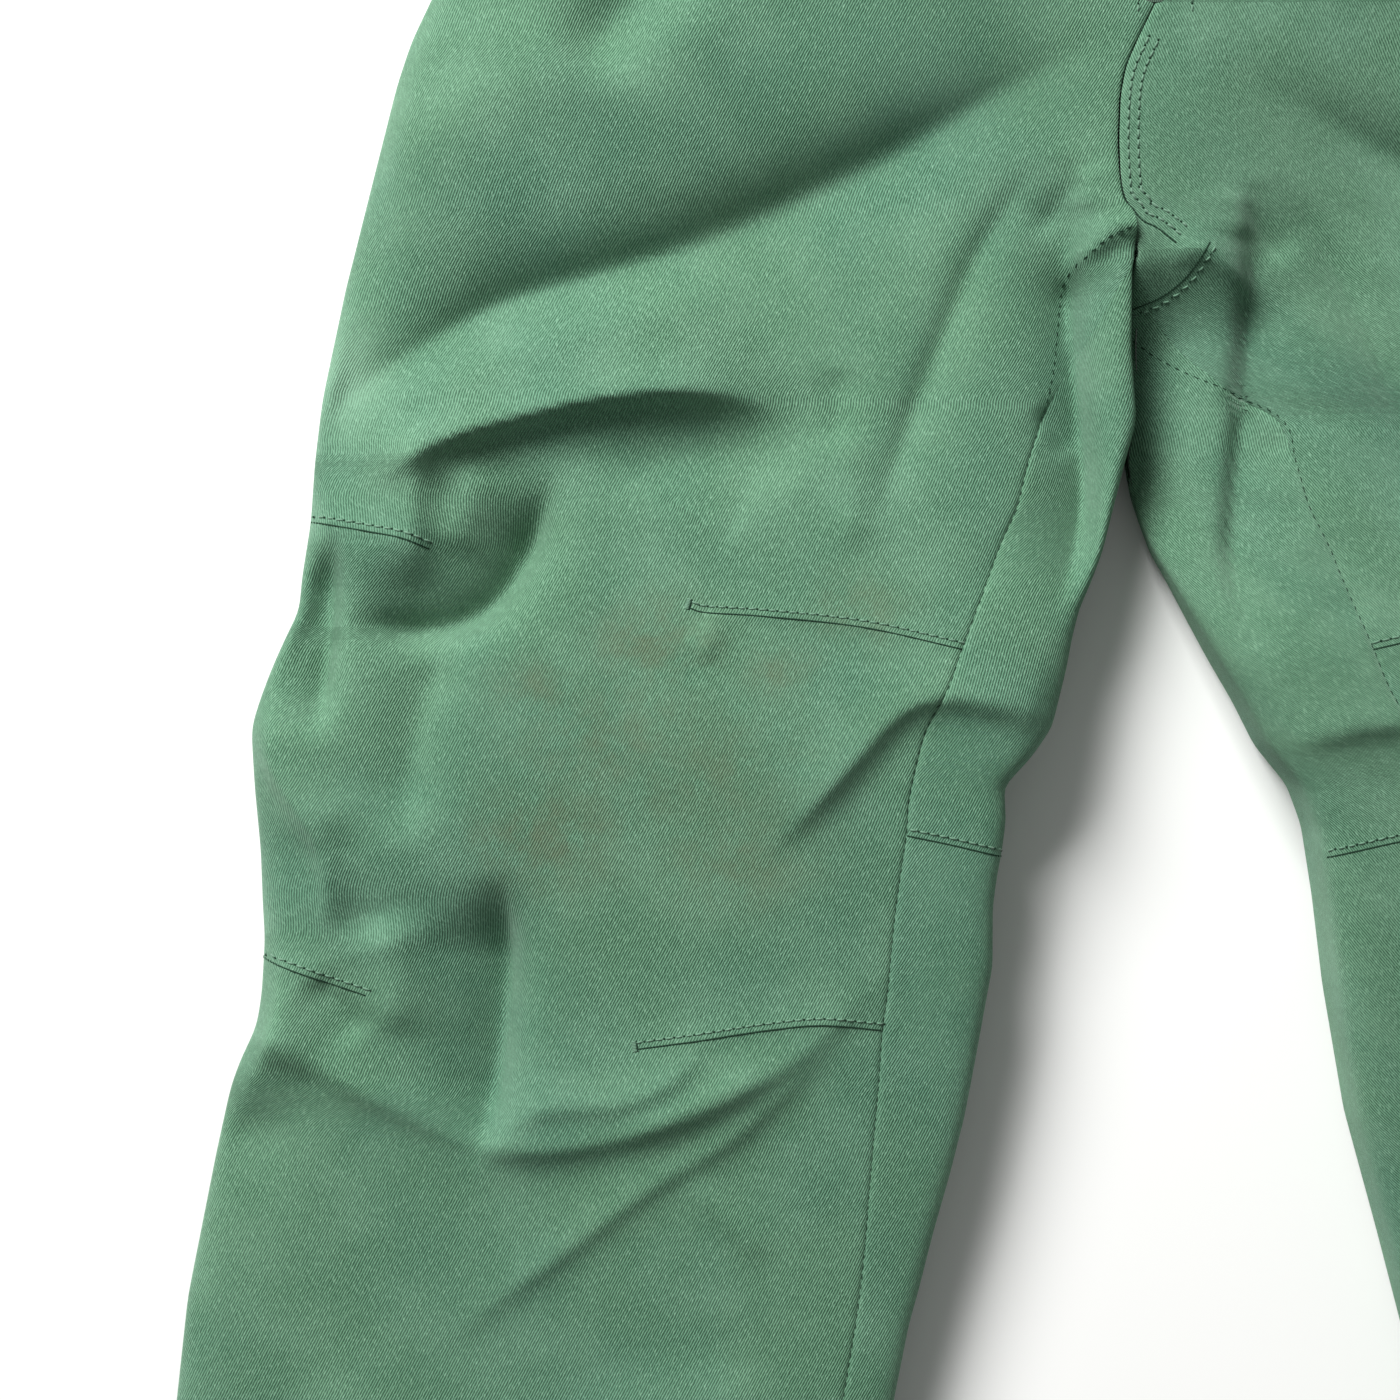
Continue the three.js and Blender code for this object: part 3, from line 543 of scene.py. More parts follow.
# ---------------------------------------------------------------- meshes
def grid_normals(grid, outward):
    """Unit normals of a grid of points, turned so that the one three quarters across points outward."""
    rows, cols = np.gradient(grid, axis=0), np.gradient(grid, axis=1)
    n = np.cross(cols, rows)
    n /= np.maximum(np.linalg.norm(n, axis=-1, keepdims=True), 1e-12)
    sample = n[n.shape[0] * 3 // 4, n.shape[1] * 3 // 4]
    return n if sample @ np.array(outward) > 0 else -n


def grid_cells(grid):
    """The numbers of the four points round each cell of a grid."""
    r, c = grid.shape[:2]
    index = np.arange(r * c).reshape(r, c)
    return np.stack([index[:-1, :-1], index[1:, :-1], index[1:, 1:], index[:-1, 1:]], -1)


def cloth_piece(name, grid, normals, uv, thickness=CLOTH, skip=None):
    """A sheet with real thickness from a grid of points in mm from the crotch, but for the cells to skip."""
    cells = grid_cells(grid)
    if skip is not None:
        cells = cells[~skip]
    quads = cells.reshape(-1, 4)
    a, b, d = (grid.reshape(-1, 3)[quads[:, k]] for k in (0, 1, 3))
    facing = np.einsum("ij,ij->i", np.cross(b - a, d - a), normals.reshape(-1, 3)[quads[:, 0]])
    if np.median(facing) < 0:
        quads = quads[:, ::-1]
    used = np.unique(quads)
    to_new = np.full(grid[..., 0].size, -1)
    to_new[used] = np.arange(len(used))
    quads = to_new[quads]
    outer = grid.reshape(-1, 3)[used]
    n = normals.reshape(-1, 3)[used]
    directed = np.vstack([np.stack([quads[:, k], quads[:, (k + 1) % 4]], -1) for k in range(4)])
    _, first, count = np.unique(np.sort(directed, 1), axis=0, return_index=True, return_counts=True)
    rim = directed[first[count == 1]]
    m = len(used)
    walls = np.stack([rim[:, 1], rim[:, 0], rim[:, 0] + m, rim[:, 1] + m], -1)
    faces = np.vstack([quads, quads[:, ::-1] + m, walls])
    points = np.vstack([outer, outer - n * thickness])
    obj = mesh_object(name, in_row(points), faces)
    metric = uv.reshape(-1, 2)[used] * MM
    set_uv(obj, np.vstack([metric, metric]))
    loops = np.vstack([n, -n])[faces]
    loops[len(quads) * 2:] = 0
    obj.data.normals_split_custom_set(loops.reshape(-1, 3).tolist())
    return obj


def in_row(points):
    """From mm at the crotch to metres in the row frame."""
    return (np.asarray(points, float) + [0, CROTCH_Y, 0]) * MM


def mesh_object(name, points, faces):
    mesh = bpy.data.meshes.new(name)
    mesh.from_pydata(np.asarray(points).tolist(), [], [list(map(int, f)) for f in faces])
    mesh.polygons.foreach_set("use_smooth", [True] * len(mesh.polygons))
    mesh.update()
    obj = bpy.data.objects.new(name, mesh)
    bpy.context.scene.collection.objects.link(obj)
    return obj


def set_uv(obj, uv):
    """Lays each point's flat cloth coordinates on its corners."""
    data = obj.data
    loop_vertex = np.empty(len(data.loops), int)
    data.loops.foreach_get("vertex_index", loop_vertex)
    target = data.uv_layers.new(name="cloth")
    target.data.foreach_set("uv", uv[loop_vertex].astype(np.float32).ravel())


def flat_uv(grid, across):
    """Flat cloth coordinates in mm: along the surface from the middle column, at across * x, and y."""
    step = np.linalg.norm(np.diff(grid, axis=1), axis=-1)
    u = np.concatenate([np.zeros((grid.shape[0], 1)), np.cumsum(step, 1)], 1)
    anchor = grid.shape[1] // 2
    u = u - u[:, anchor:anchor + 1] + across * grid[:, anchor:anchor + 1, 0]
    return np.stack([u, grid[..., 1]], -1)


def float_attribute(obj, name, values):
    attribute = obj.data.attributes.new(name, "FLOAT", "POINT")
    attribute.data.foreach_set("value", np.asarray(values, np.float32))


# ---------------------------------------------------------------- darts and seams
# Lines on the front of the wearer's right leg. Each has its edge stitching above it.
DARTS = [
    [(-232.5, -73), (-216, -76), (-206, -78), (-198, -81)],
    [(-245.5, -191), (-231, -196), (-216, -201)],
    [(-129, -96.5), (-124, -98), (-109, -99), (-82, -102), (-55, -108)],
    [(-143, -215.5), (-125, -213), (-109, -210.5), (-93, -209), (-77, -210.5)],
]
STRIP_DARTS = [[(-70, -158), (-58, -160.5), (-43.5, -164)]]  # on the back panel where it comes round
DART_LIFT = 0.7
DART_FADE = 3.5
DART_DROP = 0.7
DART_CREST = 0.4
ABOVE = 200  # rays start this far above or below the cloth


def mirrored_line(points, sign):
    """A line drawn on the wearer's right, moved to one side and still running toward +x."""
    return list(points) if sign < 0 else [(-x, y) for x, y in reversed(points)]


def dart_relief(x, y, sign):
    """The cloth stands a little proud above each dart, where its allowance is folded under."""
    darts = [(mirrored_line(p, sign), DART_LIFT, DART_FADE, DART_DROP, DART_CREST) for p in DARTS]
    return relief(x, y, darts)


def resample(points, pitch):
    """Places every pitch mm along a smooth line, and its direction there."""
    line = curve(points)
    length = np.concatenate([[0], np.cumsum(np.hypot(*np.diff(line, axis=0).T))])
    along = lambda s: np.stack([np.interp(s, length, line[:, k]) for k in (0, 1)], -1)
    at = np.arange(pitch / 2, length[-1], pitch)
    way = along(at + 0.5) - along(at - 0.5)
    return along(at), way / np.hypot(*way.T)[:, None]


class Surface:
    """The laid shell, to set things on from above or below."""

    def __init__(self, grids):
        points, faces = [], []
        for grid in grids:
            faces += (grid_cells(grid).reshape(-1, 4) + len(points)).tolist()
            points += grid.reshape(-1, 3).tolist()
        self.tree = BVHTree.FromPolygons(points, faces)

    def drop(self, x, y, front=True):
        """The point on the cloth and its outward normal, or None past the edge."""
        way = -1 if front else 1
        hit, normal, _, _ = self.tree.ray_cast(Vector((x, y, -ABOVE * way)), Vector((0, 0, way)))
        if hit is None:
            return None
        return hit, normal if normal.z * way < 0 else -normal


# A stitch's sections: the place as a share of its length, the size and the height as shares of its radius.
STITCH_SECTIONS = [(-0.5, 0.25, -0.9), (-0.36, 0.9, -0.1), (0, 1, 0.25), (0.36, 0.9, -0.1), (0.5, 0.25, -0.9)]


def capsule(length, radius, sides=6):
    """A short rounded bar along x whose ends dip, as a stitch does."""
    turn = np.linspace(0, 2 * np.pi, sides, endpoint=False)
    rings = []
    for place, size, height in STITCH_SECTIONS:
        y, z = size * radius * np.cos(turn), height * radius + size * radius * np.sin(turn)
        rings.append(np.stack([np.full(sides, place * length), y, z], -1))
    last = (len(rings) - 1) * sides
    faces = []
    for low in range(0, last, sides):
        for k in range(sides):
            after = (k + 1) % sides
            faces.append([low + sides + k, low + sides + after, low + after, low + k])
    return np.vstack(rings), faces + [list(range(sides)), list(range(last, last + sides))[::-1]]


class Gathered:
    """Many small copies of shapes, collected by the piece they belong to."""

    def __init__(self):
        self.points, self.faces, self.count = {}, {}, {}

    def add(self, key, shape, place, along, up, stretch=1):
        points, faces = shape
        across = up.cross(along).normalized()
        turn = np.array([along, across, along.cross(across)])
        start = self.count.get(key, 0)
        self.points.setdefault(key, []).append((points * [stretch, 1, 1]) @ turn + np.array(place))
        self.faces.setdefault(key, []).extend([[start + k for k in f] for f in faces])
        self.count[key] = start + len(points)

    def objects(self, name):
        """One object for each side and part."""
        return {
            key: mesh_object("_".join([name, *key]), in_row(np.vstack(self.points[key])), self.faces[key])
            for key in self.points
        }


def owner(x, y, side=None):
    """The side and the part of it that a place belongs to."""
    if side is None:
        side = "right" if x < 0 else "left"
    return side, "upper" if y > SPLIT_Y else "lower"


TACKS = 7  # stitches of a bartack
TACK_PITCH = 0.42
TACK_BELOW = 0.4  # the first one lies this far below the dart
TACK_HALF = 0.7
TACK_STITCH = {"pitch": 1.2, "scale": 0.8}


class Sewing:
    """Everything sewn on the laid shell: its stitches, and the painted shade of its seams and needle holes.
    """

    def __init__(self, surface):
        self.surface = surface
        # the dark marks are painted shade: seams, needle holes and sunk stitches
        self.stitches, self.dark = Gathered(), Gathered()

    def spots(self, points, pitch, side, offset=0.0, front=True):
        """Spots on the cloth along a line, offset mm to its left in plan: owner, place, way and normal."""
        place, way = resample(points, pitch)
        for (x, y), (wx, wy) in zip(place, way):
            hit = self.surface.drop(x - wy * offset, y + wx * offset, front)
            if hit is not None:
                spot, up = hit
                flat = Vector((wx, wy, 0))
                yield owner(spot.x, spot.y, side), spot, (flat - up * flat.dot(up)).normalized(), up

    def row(self, points, offset=0.0, front=True, side=None, pitch=STITCH_PITCH, scale=1.0):
        """A row of stitches beside a line, each followed by a needle hole drawn as a dark mark of painted
        shade.
        """
        stitch = capsule(STITCH_LENGTH * scale, THREAD * scale)
        hole = capsule(STITCH_HOLE, THREAD)
        for owned, spot, along, up in self.spots(points, pitch, side, offset, front):
            sway, stretch = RANDOM.normal(0, STITCH_SPREAD, 2)
            self.dark.add(owned, hole, spot + along * pitch / 2 - up * HOLE_IN, along, up)
            along = (along + up.cross(along) * sway).normalized()
            self.stitches.add(owned, stitch, spot + up * STITCH_OUT, along, up, 1 + stretch)

    def sunk_row(self, points, side):
        """A row of stitches pulled so deep that only dark dashes show, drawn in painted shade."""
        stitch = capsule(SUNK_STITCH, SUNK_RADIUS)
        for owned, spot, along, up in self.spots(points, STITCH_PITCH, side):
            self.dark.add(owned, stitch, spot, along, up, 1 + RANDOM.normal(0, SUNK_SPREAD))

    def seam(self, points, side=None):
        """Painted shade: the dark line of the crevice where two edges of cloth meet, sunk halfway into it."""
        bar = capsule(SEAM_BAR, SEAM_RADIUS)
        for owned, spot, along, up in self.spots(points, SEAM_PITCH, side):
            self.dark.add(owned, bar, spot - up * SEAM_IN, along, up)

    def bartack(self, place, way, side):
        """A dense block of short stitches across the end of a dart, which runs in the given way."""
        across = np.array([-way[1], way[0]])
        for k in range(TACKS):
            middle = np.array(place) + across * (k * TACK_PITCH - TACK_BELOW)
            ends = [tuple(middle - way * TACK_HALF), tuple(middle + way * TACK_HALF)]
            self.row(ends, side=side, **TACK_STITCH)


# ---------------------------------------------------------------- how the pieces follow the bodies
HIP_BEND = 52  # the cloth turns from the seat's way to the thigh's over this much below the crotch
KNEE_BEND = (-45, 55)  # and from the thigh's to the shin's between these, down the leg from the knee
HIP_X = 106.5
HIP_Z = 16
KNEE_Z = 20


def follow(obj, side, part):
    """Bends an object of one side across the hip or across the knee."""
    sign = SIDES[side]
    if part == "upper":
        bend = [(sign * HIP_X, -y, HIP_Z) for y in (0, HIP_BEND)]
        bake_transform(obj, "seat", f"thigh_{side}", *in_row(bend).tolist())
    else:
        way = np.array([sign * math.sin(SPLAY), -math.cos(SPLAY), 0])
        knee = np.array([-sign * KNEE[0], KNEE[1], KNEE_Z])
        bend = [knee + way * t for t in KNEE_BEND]
        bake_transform(obj, f"thigh_{side}", f"shin_{side}", *in_row(bend).tolist())


def finished(obj, material, body=None):
    """Gives an object its material, and a body when it doesn't bend."""
    obj.data.materials.clear()
    obj.data.materials.append(material)
    if body:
        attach(obj, body)
    return obj


def halves(rows):
    """The rows that follow the hip and those that follow the knee, sharing one."""
    split = int(np.argmax(rows.q >= SPLIT_Q))
    return {"upper": slice(0, split + 1), "lower": slice(split, len(rows.q))}


# ---------------------------------------------------------------- the shell
STAINS = [  # places of wear on the knee: x, y from the crotch, size, strength
    (-138, -106, 16, 0.9), (-169, -119, 12, 0.7), (-166, -158, 20, 0.9), (-115, -164, 20, 0.7),
    (-104, -114, 10, 0.7), (-84, -97, 14, 0.6), (-150, -132, 26, 0.6), (-128, -140, 30, 0.5),
]
STAIN_FLAT = 0.7  # a stain's height for its width
SCUFF = (-221, -34, 9, 14)  # where the cloth is rubbed pale: x, y, width, height
WORN_ABOVE = 12  # only the front, above the side folds, is worn


def worn(x, y):
    """How dirty the wearer's right leg is at each place, from 0 to 1."""
    spots = [s * bell(x, cx, size) * bell(y, cy, STAIN_FLAT * size) for cx, cy, size, s in STAINS]
    return np.max(spots, axis=0)


def scuffed(x, y):
    """How far the wearer's right leg is rubbed pale at each place."""
    cx, cy, wide, tall = SCUFF
    return bell(x, cx, wide) * bell(y, cy, tall)


def in_slot(grid, side):
    """Which cells of the front lie in the hand pocket's opening."""
    middle = (grid[:-1, :-1] + grid[1:, 1:]) / 2
    along, across = pocket_place(middle[..., 0] * -SIDES[side], middle[..., 1])
    return (np.abs(along) < POCKET_LONG / 2) & (np.abs(across) < POCKET_WIDE / 2)


def pocket_place(x, y):
    """Coordinates along and across the wearer's right pocket opening."""
    dx, dy = x - POCKET_MIDDLE[0], y - POCKET_MIDDLE[1]
    return dx * POCKET_WAY[0] + dy * POCKET_WAY[1], dx * POCKET_WAY[1] - dy * POCKET_WAY[0]


def shell(side, surfaces):
    """The front and back panels of one side, each split where the hip's share of the leg ends."""
    rows = rows_down(side, UNDER_BAND, ROW_STEP, SHELL_END, int(-HEM_OUTER_Y * SHELL_END / ROW_STEP))
    front, back = front_panel(rows), back_panel(rows)
    empty = np.zeros((len(rows.q) - 1, COLUMNS["strip"] + COLUMNS["back"] - 1), bool)
    empty[:, :COLUMNS["strip"]] = ~rows.is_leg[1:, None]
    panels = {"front": (front, (0, 0, 1), in_slot(front, side)), "back": (back, (0, 0, -1), empty)}
    covers = {
        ("front", "upper"): ["front_hip", "groin_fold", "front_thigh"],
        ("front", "lower"): ["front_shin"],
        ("back", "upper"): ["back_hip", "back_thigh"],
        ("back", "lower"): ["back_knee_fold", "back_shin"],
    }
    for name, (grid, outward, skip) in panels.items():
        normals = grid_normals(grid, outward)
        uv = flat_uv(grid, math.cos(SPLAY))
        surfaces.append(grid)
        for part, cut in halves(rows).items():
            cells = slice(cut.start, cut.stop - 1)
            piece = cloth_piece(f"{name}_{part}_{side}", grid[cut], normals[cut], uv[cut], skip=skip[cells])
            x, y, z = (np.array([v.co for v in piece.data.vertices]) / MM - [0, CROTCH_Y, 0]).T
            for layer, amount in (("stain", worn), ("scuff", scuffed)):
                float_attribute(piece, layer, amount(x * -SIDES[side], y) * (z > WORN_ABOVE))
            finished(piece, TWILL)
            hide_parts(*[f"{node}_{side}" for node in covers[name, part]])
            follow(piece, side, part)
            lay_flat(grid[cut], skip[cells])


def lay_flat(grid, skip):
    """Measures a panel's width, length and cell areas as laid down, and keeps none of them."""
    wide = np.linalg.norm(np.diff(grid, axis=1), axis=-1).sum(1).max()
    tall = float(np.median(np.linalg.norm(np.diff(grid, axis=0), axis=-1).sum(0)))
    down, across = grid[1:, :-1] - grid[:-1, :-1], grid[:-1, 1:] - grid[:-1, :-1]
    cells = np.linalg.norm(np.cross(down, across), axis=-1)[~skip]


# ---------------------------------------------------------------- materials
def linear(*rgb):
    """An sRGB colour in 0 to 255 as Blender's linear numbers."""
    return [c / 255 / 12.92 if c <= 10 else ((c / 255 + 0.055) / 1.055) ** 2.4 for c in rgb] + [1]


class Material:
    """A material with its node tree, and short ways to add to it."""

    def __init__(self, name, roughness, **sockets):
        self.made = bpy.data.materials.new(name)
        self.made.use_nodes = True
        self.tree = self.made.node_tree
        self.shader = self.tree.nodes["Principled BSDF"]
        self.shader.inputs["Roughness"].default_value = roughness
        for key, value in sockets.items():
            self.shader.inputs[key.replace("_", " ")].default_value = value

    def node(self, kind, settings=None, **inputs):
        """A new node. An input is named with _ for a space, or by its number after a _."""
        n = self.tree.nodes.new(kind)
        for key, value in (settings or {}).items():
            setattr(n, key, value)
        for key, value in inputs.items():
            self.feed(n.inputs[int(key[1:]) if key[1:].isdigit() else key.replace("_", " ")], value)
        return n

    def feed(self, socket, value):
        if isinstance(value, bpy.types.NodeSocket):
            self.tree.links.new(value, socket)
        else:
            socket.default_value = value

    def coordinates(self, layer=None, turn=0.0, scale=(1, 1, 1)):
        """Places on the surface in metres: a UV layer's, or the object's own."""
        if layer:
            source = self.node("ShaderNodeUVMap", {"uv_map": layer}).outputs[0]
        else:
            source = self.node("ShaderNodeTexCoord").outputs["Object"]
        return self.node("ShaderNodeMapping", Vector=source, Rotation=(0, 0, turn), Scale=scale).outputs[0]

    def noise(self, where, size, detail=3.0, roughness=0.55):
        """Soft clouds about size mm across."""
        inputs = {"Scale": 1 / (size * MM), "Detail": detail, "Roughness": roughness}
        return self.node("ShaderNodeTexNoise", Vector=where, **inputs).outputs["Fac"]

    def ribs(self, where, pitch, distortion=0.0, size=1.0):
        """Rounded bars across x, pitch mm apart. Blender's wave turns by 20 radians for each unit."""
        settings = {"wave_type": "BANDS", "bands_direction": "X", "wave_profile": "SIN"}
        inputs = {"Scale": 2 * math.pi / (20 * pitch * MM), "Distortion": distortion, "Detail_Scale": size}
        return self.node("ShaderNodeTexWave", settings, Vector=where, Detail=1.5, **inputs).outputs["Fac"]

    def math(self, operation, a, b=0.0):
        return self.node("ShaderNodeMath", {"operation": operation}, _0=a, _1=b).outputs[0]

    def spread(self, value, low, high, to_low=0.0, to_high=1.0):
        """A value between low and high, moved to lie between two others."""
        limits = {"From_Min": low, "From_Max": high, "To_Min": to_low, "To_Max": to_high}
        return self.node("ShaderNodeMapRange", Value=value, **limits).outputs[0]

    def mix(self, share, a, b, blend="MIX"):
        n = self.node("ShaderNodeMix", {"data_type": "RGBA", "blend_type": blend}, _0=share, _6=a, _7=b)
        return n.outputs[2]

    def attribute(self, name):
        return self.node("ShaderNodeAttribute", {"attribute_name": name}).outputs["Fac"]

    def bump(self, height, deep, strength=1.0, over=None):
        """Relief of that many mm between a height of 0 and 1, over other bumps."""
        n = self.node("ShaderNodeBump", Height=height, Distance=deep * MM, Strength=strength)
        if over:
            self.feed(n.inputs["Normal"], over)
        return n.outputs[0]

    def done(self, colour, normal=None, roughness=None):
        """The finished material."""
        self.feed(self.shader.inputs["Base Color"], colour)
        if normal:
            self.feed(self.shader.inputs["Normal"], normal)
        if roughness:
            self.feed(self.shader.inputs["Roughness"], roughness)
        return self.made


RIB_PITCH = 0.68
RIB_TURN = math.radians(28)
GREEN = linear(107, 152, 121)
GREEN_DARK = linear(44, 80, 59)
GREEN_COOL = linear(88, 138, 120)
GREEN_PALE = linear(150, 190, 163)
DIRT = linear(96, 104, 80)


def twill():
    """Brushed twill: fine diagonal ribs of uneven yarn, mottled dye, rubbed pale and dirty at the knee."""
    m = Material("twill", 0.86, Sheen_Weight=0.35, Sheen_Roughness=0.45, Specular_IOR_Level=0.25)
    m.shader.inputs["Sheen Tint"].default_value = linear(190, 220, 200)
    where = m.coordinates("cloth", RIB_TURN)
    ribs = m.ribs(where, RIB_PITCH, 1.1, 2.0)
    yarn = m.noise(m.coordinates("cloth", RIB_TURN, (1, 0.32, 1)), 0.55, 2, 0.7)
    flat = m.coordinates("cloth")
    fuzz = m.noise(flat, 0.28, 2, 0.8)
    weave = m.math("ADD", m.math("MULTIPLY", ribs, 0.55), m.math("MULTIPLY", yarn, 0.6))
    cloud = m.noise(flat, 26, 5, 0.6)
    speck = m.noise(flat, 3.2, 4, 0.7)
    dye = m.mix(m.spread(m.noise(flat, 70, 3, 0.5), 0.42, 0.66, 0, 0.4), GREEN, GREEN_COOL)
    colour = m.mix(m.spread(weave, 0.25, 0.8), GREEN_DARK, dye)
    colour = m.mix(m.spread(yarn, 0.55, 0.78, 0, 0.5), colour, GREEN_PALE)
    colour = m.mix(m.spread(cloud, 0.42, 0.66, 0, 0.14), colour, GREEN_PALE)
    colour = m.mix(m.spread(speck, 0.5, 0.75, 0, 0.2), colour, GREEN_DARK)
    patchy = m.math("MULTIPLY", m.attribute("stain"), m.spread(m.noise(flat, 11, 6, 0.66), 0.34, 0.64))
    colour = m.mix(m.math("MULTIPLY", patchy, 0.8), colour, DIRT)
    rubbed = m.math("MULTIPLY", m.attribute("scuff"), m.spread(fuzz, 0.3, 0.7, 0.1, 0.6))
    colour = m.mix(rubbed, colour, GREEN_PALE)
    soft = m.bump(m.noise(flat, 7, 3), 0.25, 0.5)
    normal = m.bump(m.math("ADD", weave, m.math("MULTIPLY", fuzz, 0.35)), 0.3, 1.0, soft)
    return m.done(colour, normal, m.spread(cloud, 0.3, 0.7, 0.82, 0.92))


def lining():
    """Smooth grey lining taffeta with a fine plain weave."""
    m = Material("lining", 0.5, Sheen_Weight=0.15, Specular_IOR_Level=0.4)
    where = m.coordinates("cloth")
    weft = m.ribs(where, 0.35, 0.4)
    warp = m.ribs(m.coordinates("cloth", math.pi / 2), 0.35, 0.4)
    weave = m.math("MULTIPLY", m.math("ADD", weft, warp), 0.5)
    colour = m.mix(m.spread(m.noise(where, 18, 4), 0.4, 0.65), linear(104, 112, 108), linear(128, 136, 131))
    colour = m.mix(m.spread(weave, 0.2, 0.8, 0.25, 0), colour, linear(70, 78, 74))
    normal = m.bump(weave, 0.05, 0.7, m.bump(m.noise(where, 9, 3), 0.5, 0.5))
    return m.done(colour, normal)


def ribbed(name, pale, dark, pitch):
    """Woven tape or elastic with ribs along it."""
    m = Material(name, 0.75, Sheen_Weight=0.2)
    where = m.coordinates("cloth")
    ribs = m.ribs(where, pitch, 0.3)
    cross = m.ribs(m.coordinates("cloth", math.pi / 2), pitch * 0.45, 0.3)
    weave = m.math("ADD", m.math("MULTIPLY", ribs, 0.7), m.math("MULTIPLY", cross, 0.3))
    colour = m.mix(m.spread(weave, 0.15, 0.8), dark, pale)
    colour = m.mix(m.spread(m.noise(where, 6, 4), 0.45, 0.7, 0, 0.3), colour, dark)
    return m.done(colour, m.bump(weave, 0.2, 0.9))


def thread():
    """Stitching thread, twisted and a shade paler than the cloth."""
    m = Material("thread", 0.6, Sheen_Weight=0.3, Specular_IOR_Level=0.35)
    where = m.coordinates()
    colour = m.mix(m.noise(where, 1.6, 3), linear(72, 110, 86), linear(112, 152, 127))
    return m.done(colour, m.bump(m.noise(where, 0.3, 2), 0.06, 0.8))


def seam_shadow():
    """Painted shade for the crevice between two edges of cloth, for needle holes and for sunk stitches."""
    m = Material("seam_crevice_shade", 0.95, Specular_IOR_Level=0.05)
    where = m.coordinates()
    return m.done(m.mix(m.noise(where, 0.8, 3), linear(24, 44, 33), linear(48, 74, 58)))


def moulded():
    """Moulded zip plastic with fine scratches."""
    m = Material("zip_teeth", 0.42, Specular_IOR_Level=0.5)
    where = m.coordinates()
    colour = m.mix(m.spread(m.noise(where, 2.5, 4), 0.35, 0.7), linear(44, 66, 52), linear(70, 98, 80))
    roughness = m.spread(m.noise(where, 1.4, 3), 0.3, 0.7, 0.34, 0.52)
    return m.done(colour, m.bump(m.noise(where, 0.4, 3), 0.02, 0.6), roughness)


def metal():
    """Dark nickel, tumbled and worn a little brighter in patches."""
    m = Material("dark_nickel", 0.3, Metallic=1.0)
    where = m.coordinates()
    patches = m.noise(where, 2.2, 5, 0.6)
    colour = m.mix(m.spread(patches, 0.4, 0.65), linear(84, 84, 82), linear(150, 150, 146))
    scratches = m.noise(m.coordinates(None, 0.4, (1, 6, 1)), 0.7, 3)
    return m.done(colour, m.bump(scratches, 0.015, 0.7), m.spread(patches, 0.3, 0.7, 0.38, 0.24))


def paper():
    """The pale floor."""
    m = Material("floor", 0.85, Specular_IOR_Level=0.15)
    where = m.coordinates()
    return m.done(m.mix(m.noise(where, 400, 2), linear(236, 236, 234), linear(243, 243, 241)))


TWILL = twill()
LINING = lining()
ELASTIC = ribbed("elastic", linear(58, 62, 60), linear(24, 27, 26), 1.1)
ZIP_TAPE = ribbed("zip_tape", linear(74, 104, 84), linear(42, 64, 50), 0.55)
THREADS = thread()
# painted shade for seams, needle holes and sunk stitches
CREVICE_SHADE = seam_shadow()
ZIP_TEETH = moulded()
METAL = metal()


# ---------------------------------------------------------------- rings of cloth round a leg
ROUND = 150  # columns over the front of a ring, and again under its back
SLACK_REACH = 2  # a lining hangs as low as the lowest cloth this many rows or columns away
LINING_INSET = 2.4
LINING_THICK = 0.3
LINING_UNDER = 4
LINING_END = 0.965
LINING_STEP = 6
LINING_ROWS = 90  # down the leg
POUCH_ROOM = 6.5  # the lining lies this much lower under the hand pockets
POUCH_FROM = (15, 45)  # up from the crotch
POUCH_TO = (164, 172)
POUCH_FRONT = (12, 20)  # the heights between which the back of the lining becomes its front
HEM = {"inset": -0.35, "thickness": 1.7}
GAITER = (0.72, 0.955)  # where the snow gaiter starts and ends, as shares of the leg
GAITER_INSET = 3.4
GAITER_IN = 2.4  # how far it is drawn in at its end
GAITER_IN_FROM = 0.35
RING_ROWS = {"hem": 14, "gaiter": 46, "elastic": 12}
GAITER_ELASTIC = {"long": 0.032, "inset": 7.2, "thickness": 1.0}
PLEATS = 34
PLEAT_DEEP = 0.9
PLEAT_SWAY = (1.2, 5)  # pleats are wider and narrower by turns: how much, and over how many
UP = (0, 0, 1)
DOWN = (0, 0, -1)  # also the outward way of a ring's back, where grid_normals looks


def leg_rows(side, low, high, count):
    """Rows of one leg between two shares of its length."""
    q = np.linspace(low, high, count)
    return Rows(side, 0 * q, q)


def around(rows, inset):
    """Points right round each row, over the front from the inner fold and back under it."""
    spread = columns(rows.width(), FOLD_STEPS, FOLD_STEPS, ROUND)
    front = lay_front(rows, spread, inset)[:, ::-1]
    back = lay_back(rows, spread, inset)[:, ::-1]
    return np.concatenate([front, back[:, 1:]], 1)


def slack(grid):
    """The ring with each height in front lowered to the lowest near it, as a lining hangs clear of folds."""
    front = grid[:, :ROUND, 2]
    padded = np.pad(front, SLACK_REACH, mode="edge")
    shifts = range(2 * SLACK_REACH + 1)
    near = [padded[i:i + front.shape[0], j:j + front.shape[1]] for i in shifts for j in shifts]
    grid[:, :ROUND, 2] = np.min(near, axis=0)
    return grid


def sheet_piece(name, grid, outward, thickness, material, slot, body, node=None):
    """A piece of cloth or elastic from a grid of points, which stays with one body."""
    piece = cloth_piece(name, grid, grid_normals(grid, outward), flat_uv(grid, 1), thickness)
    finished(piece, material, body)
    if node:
        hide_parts(node)


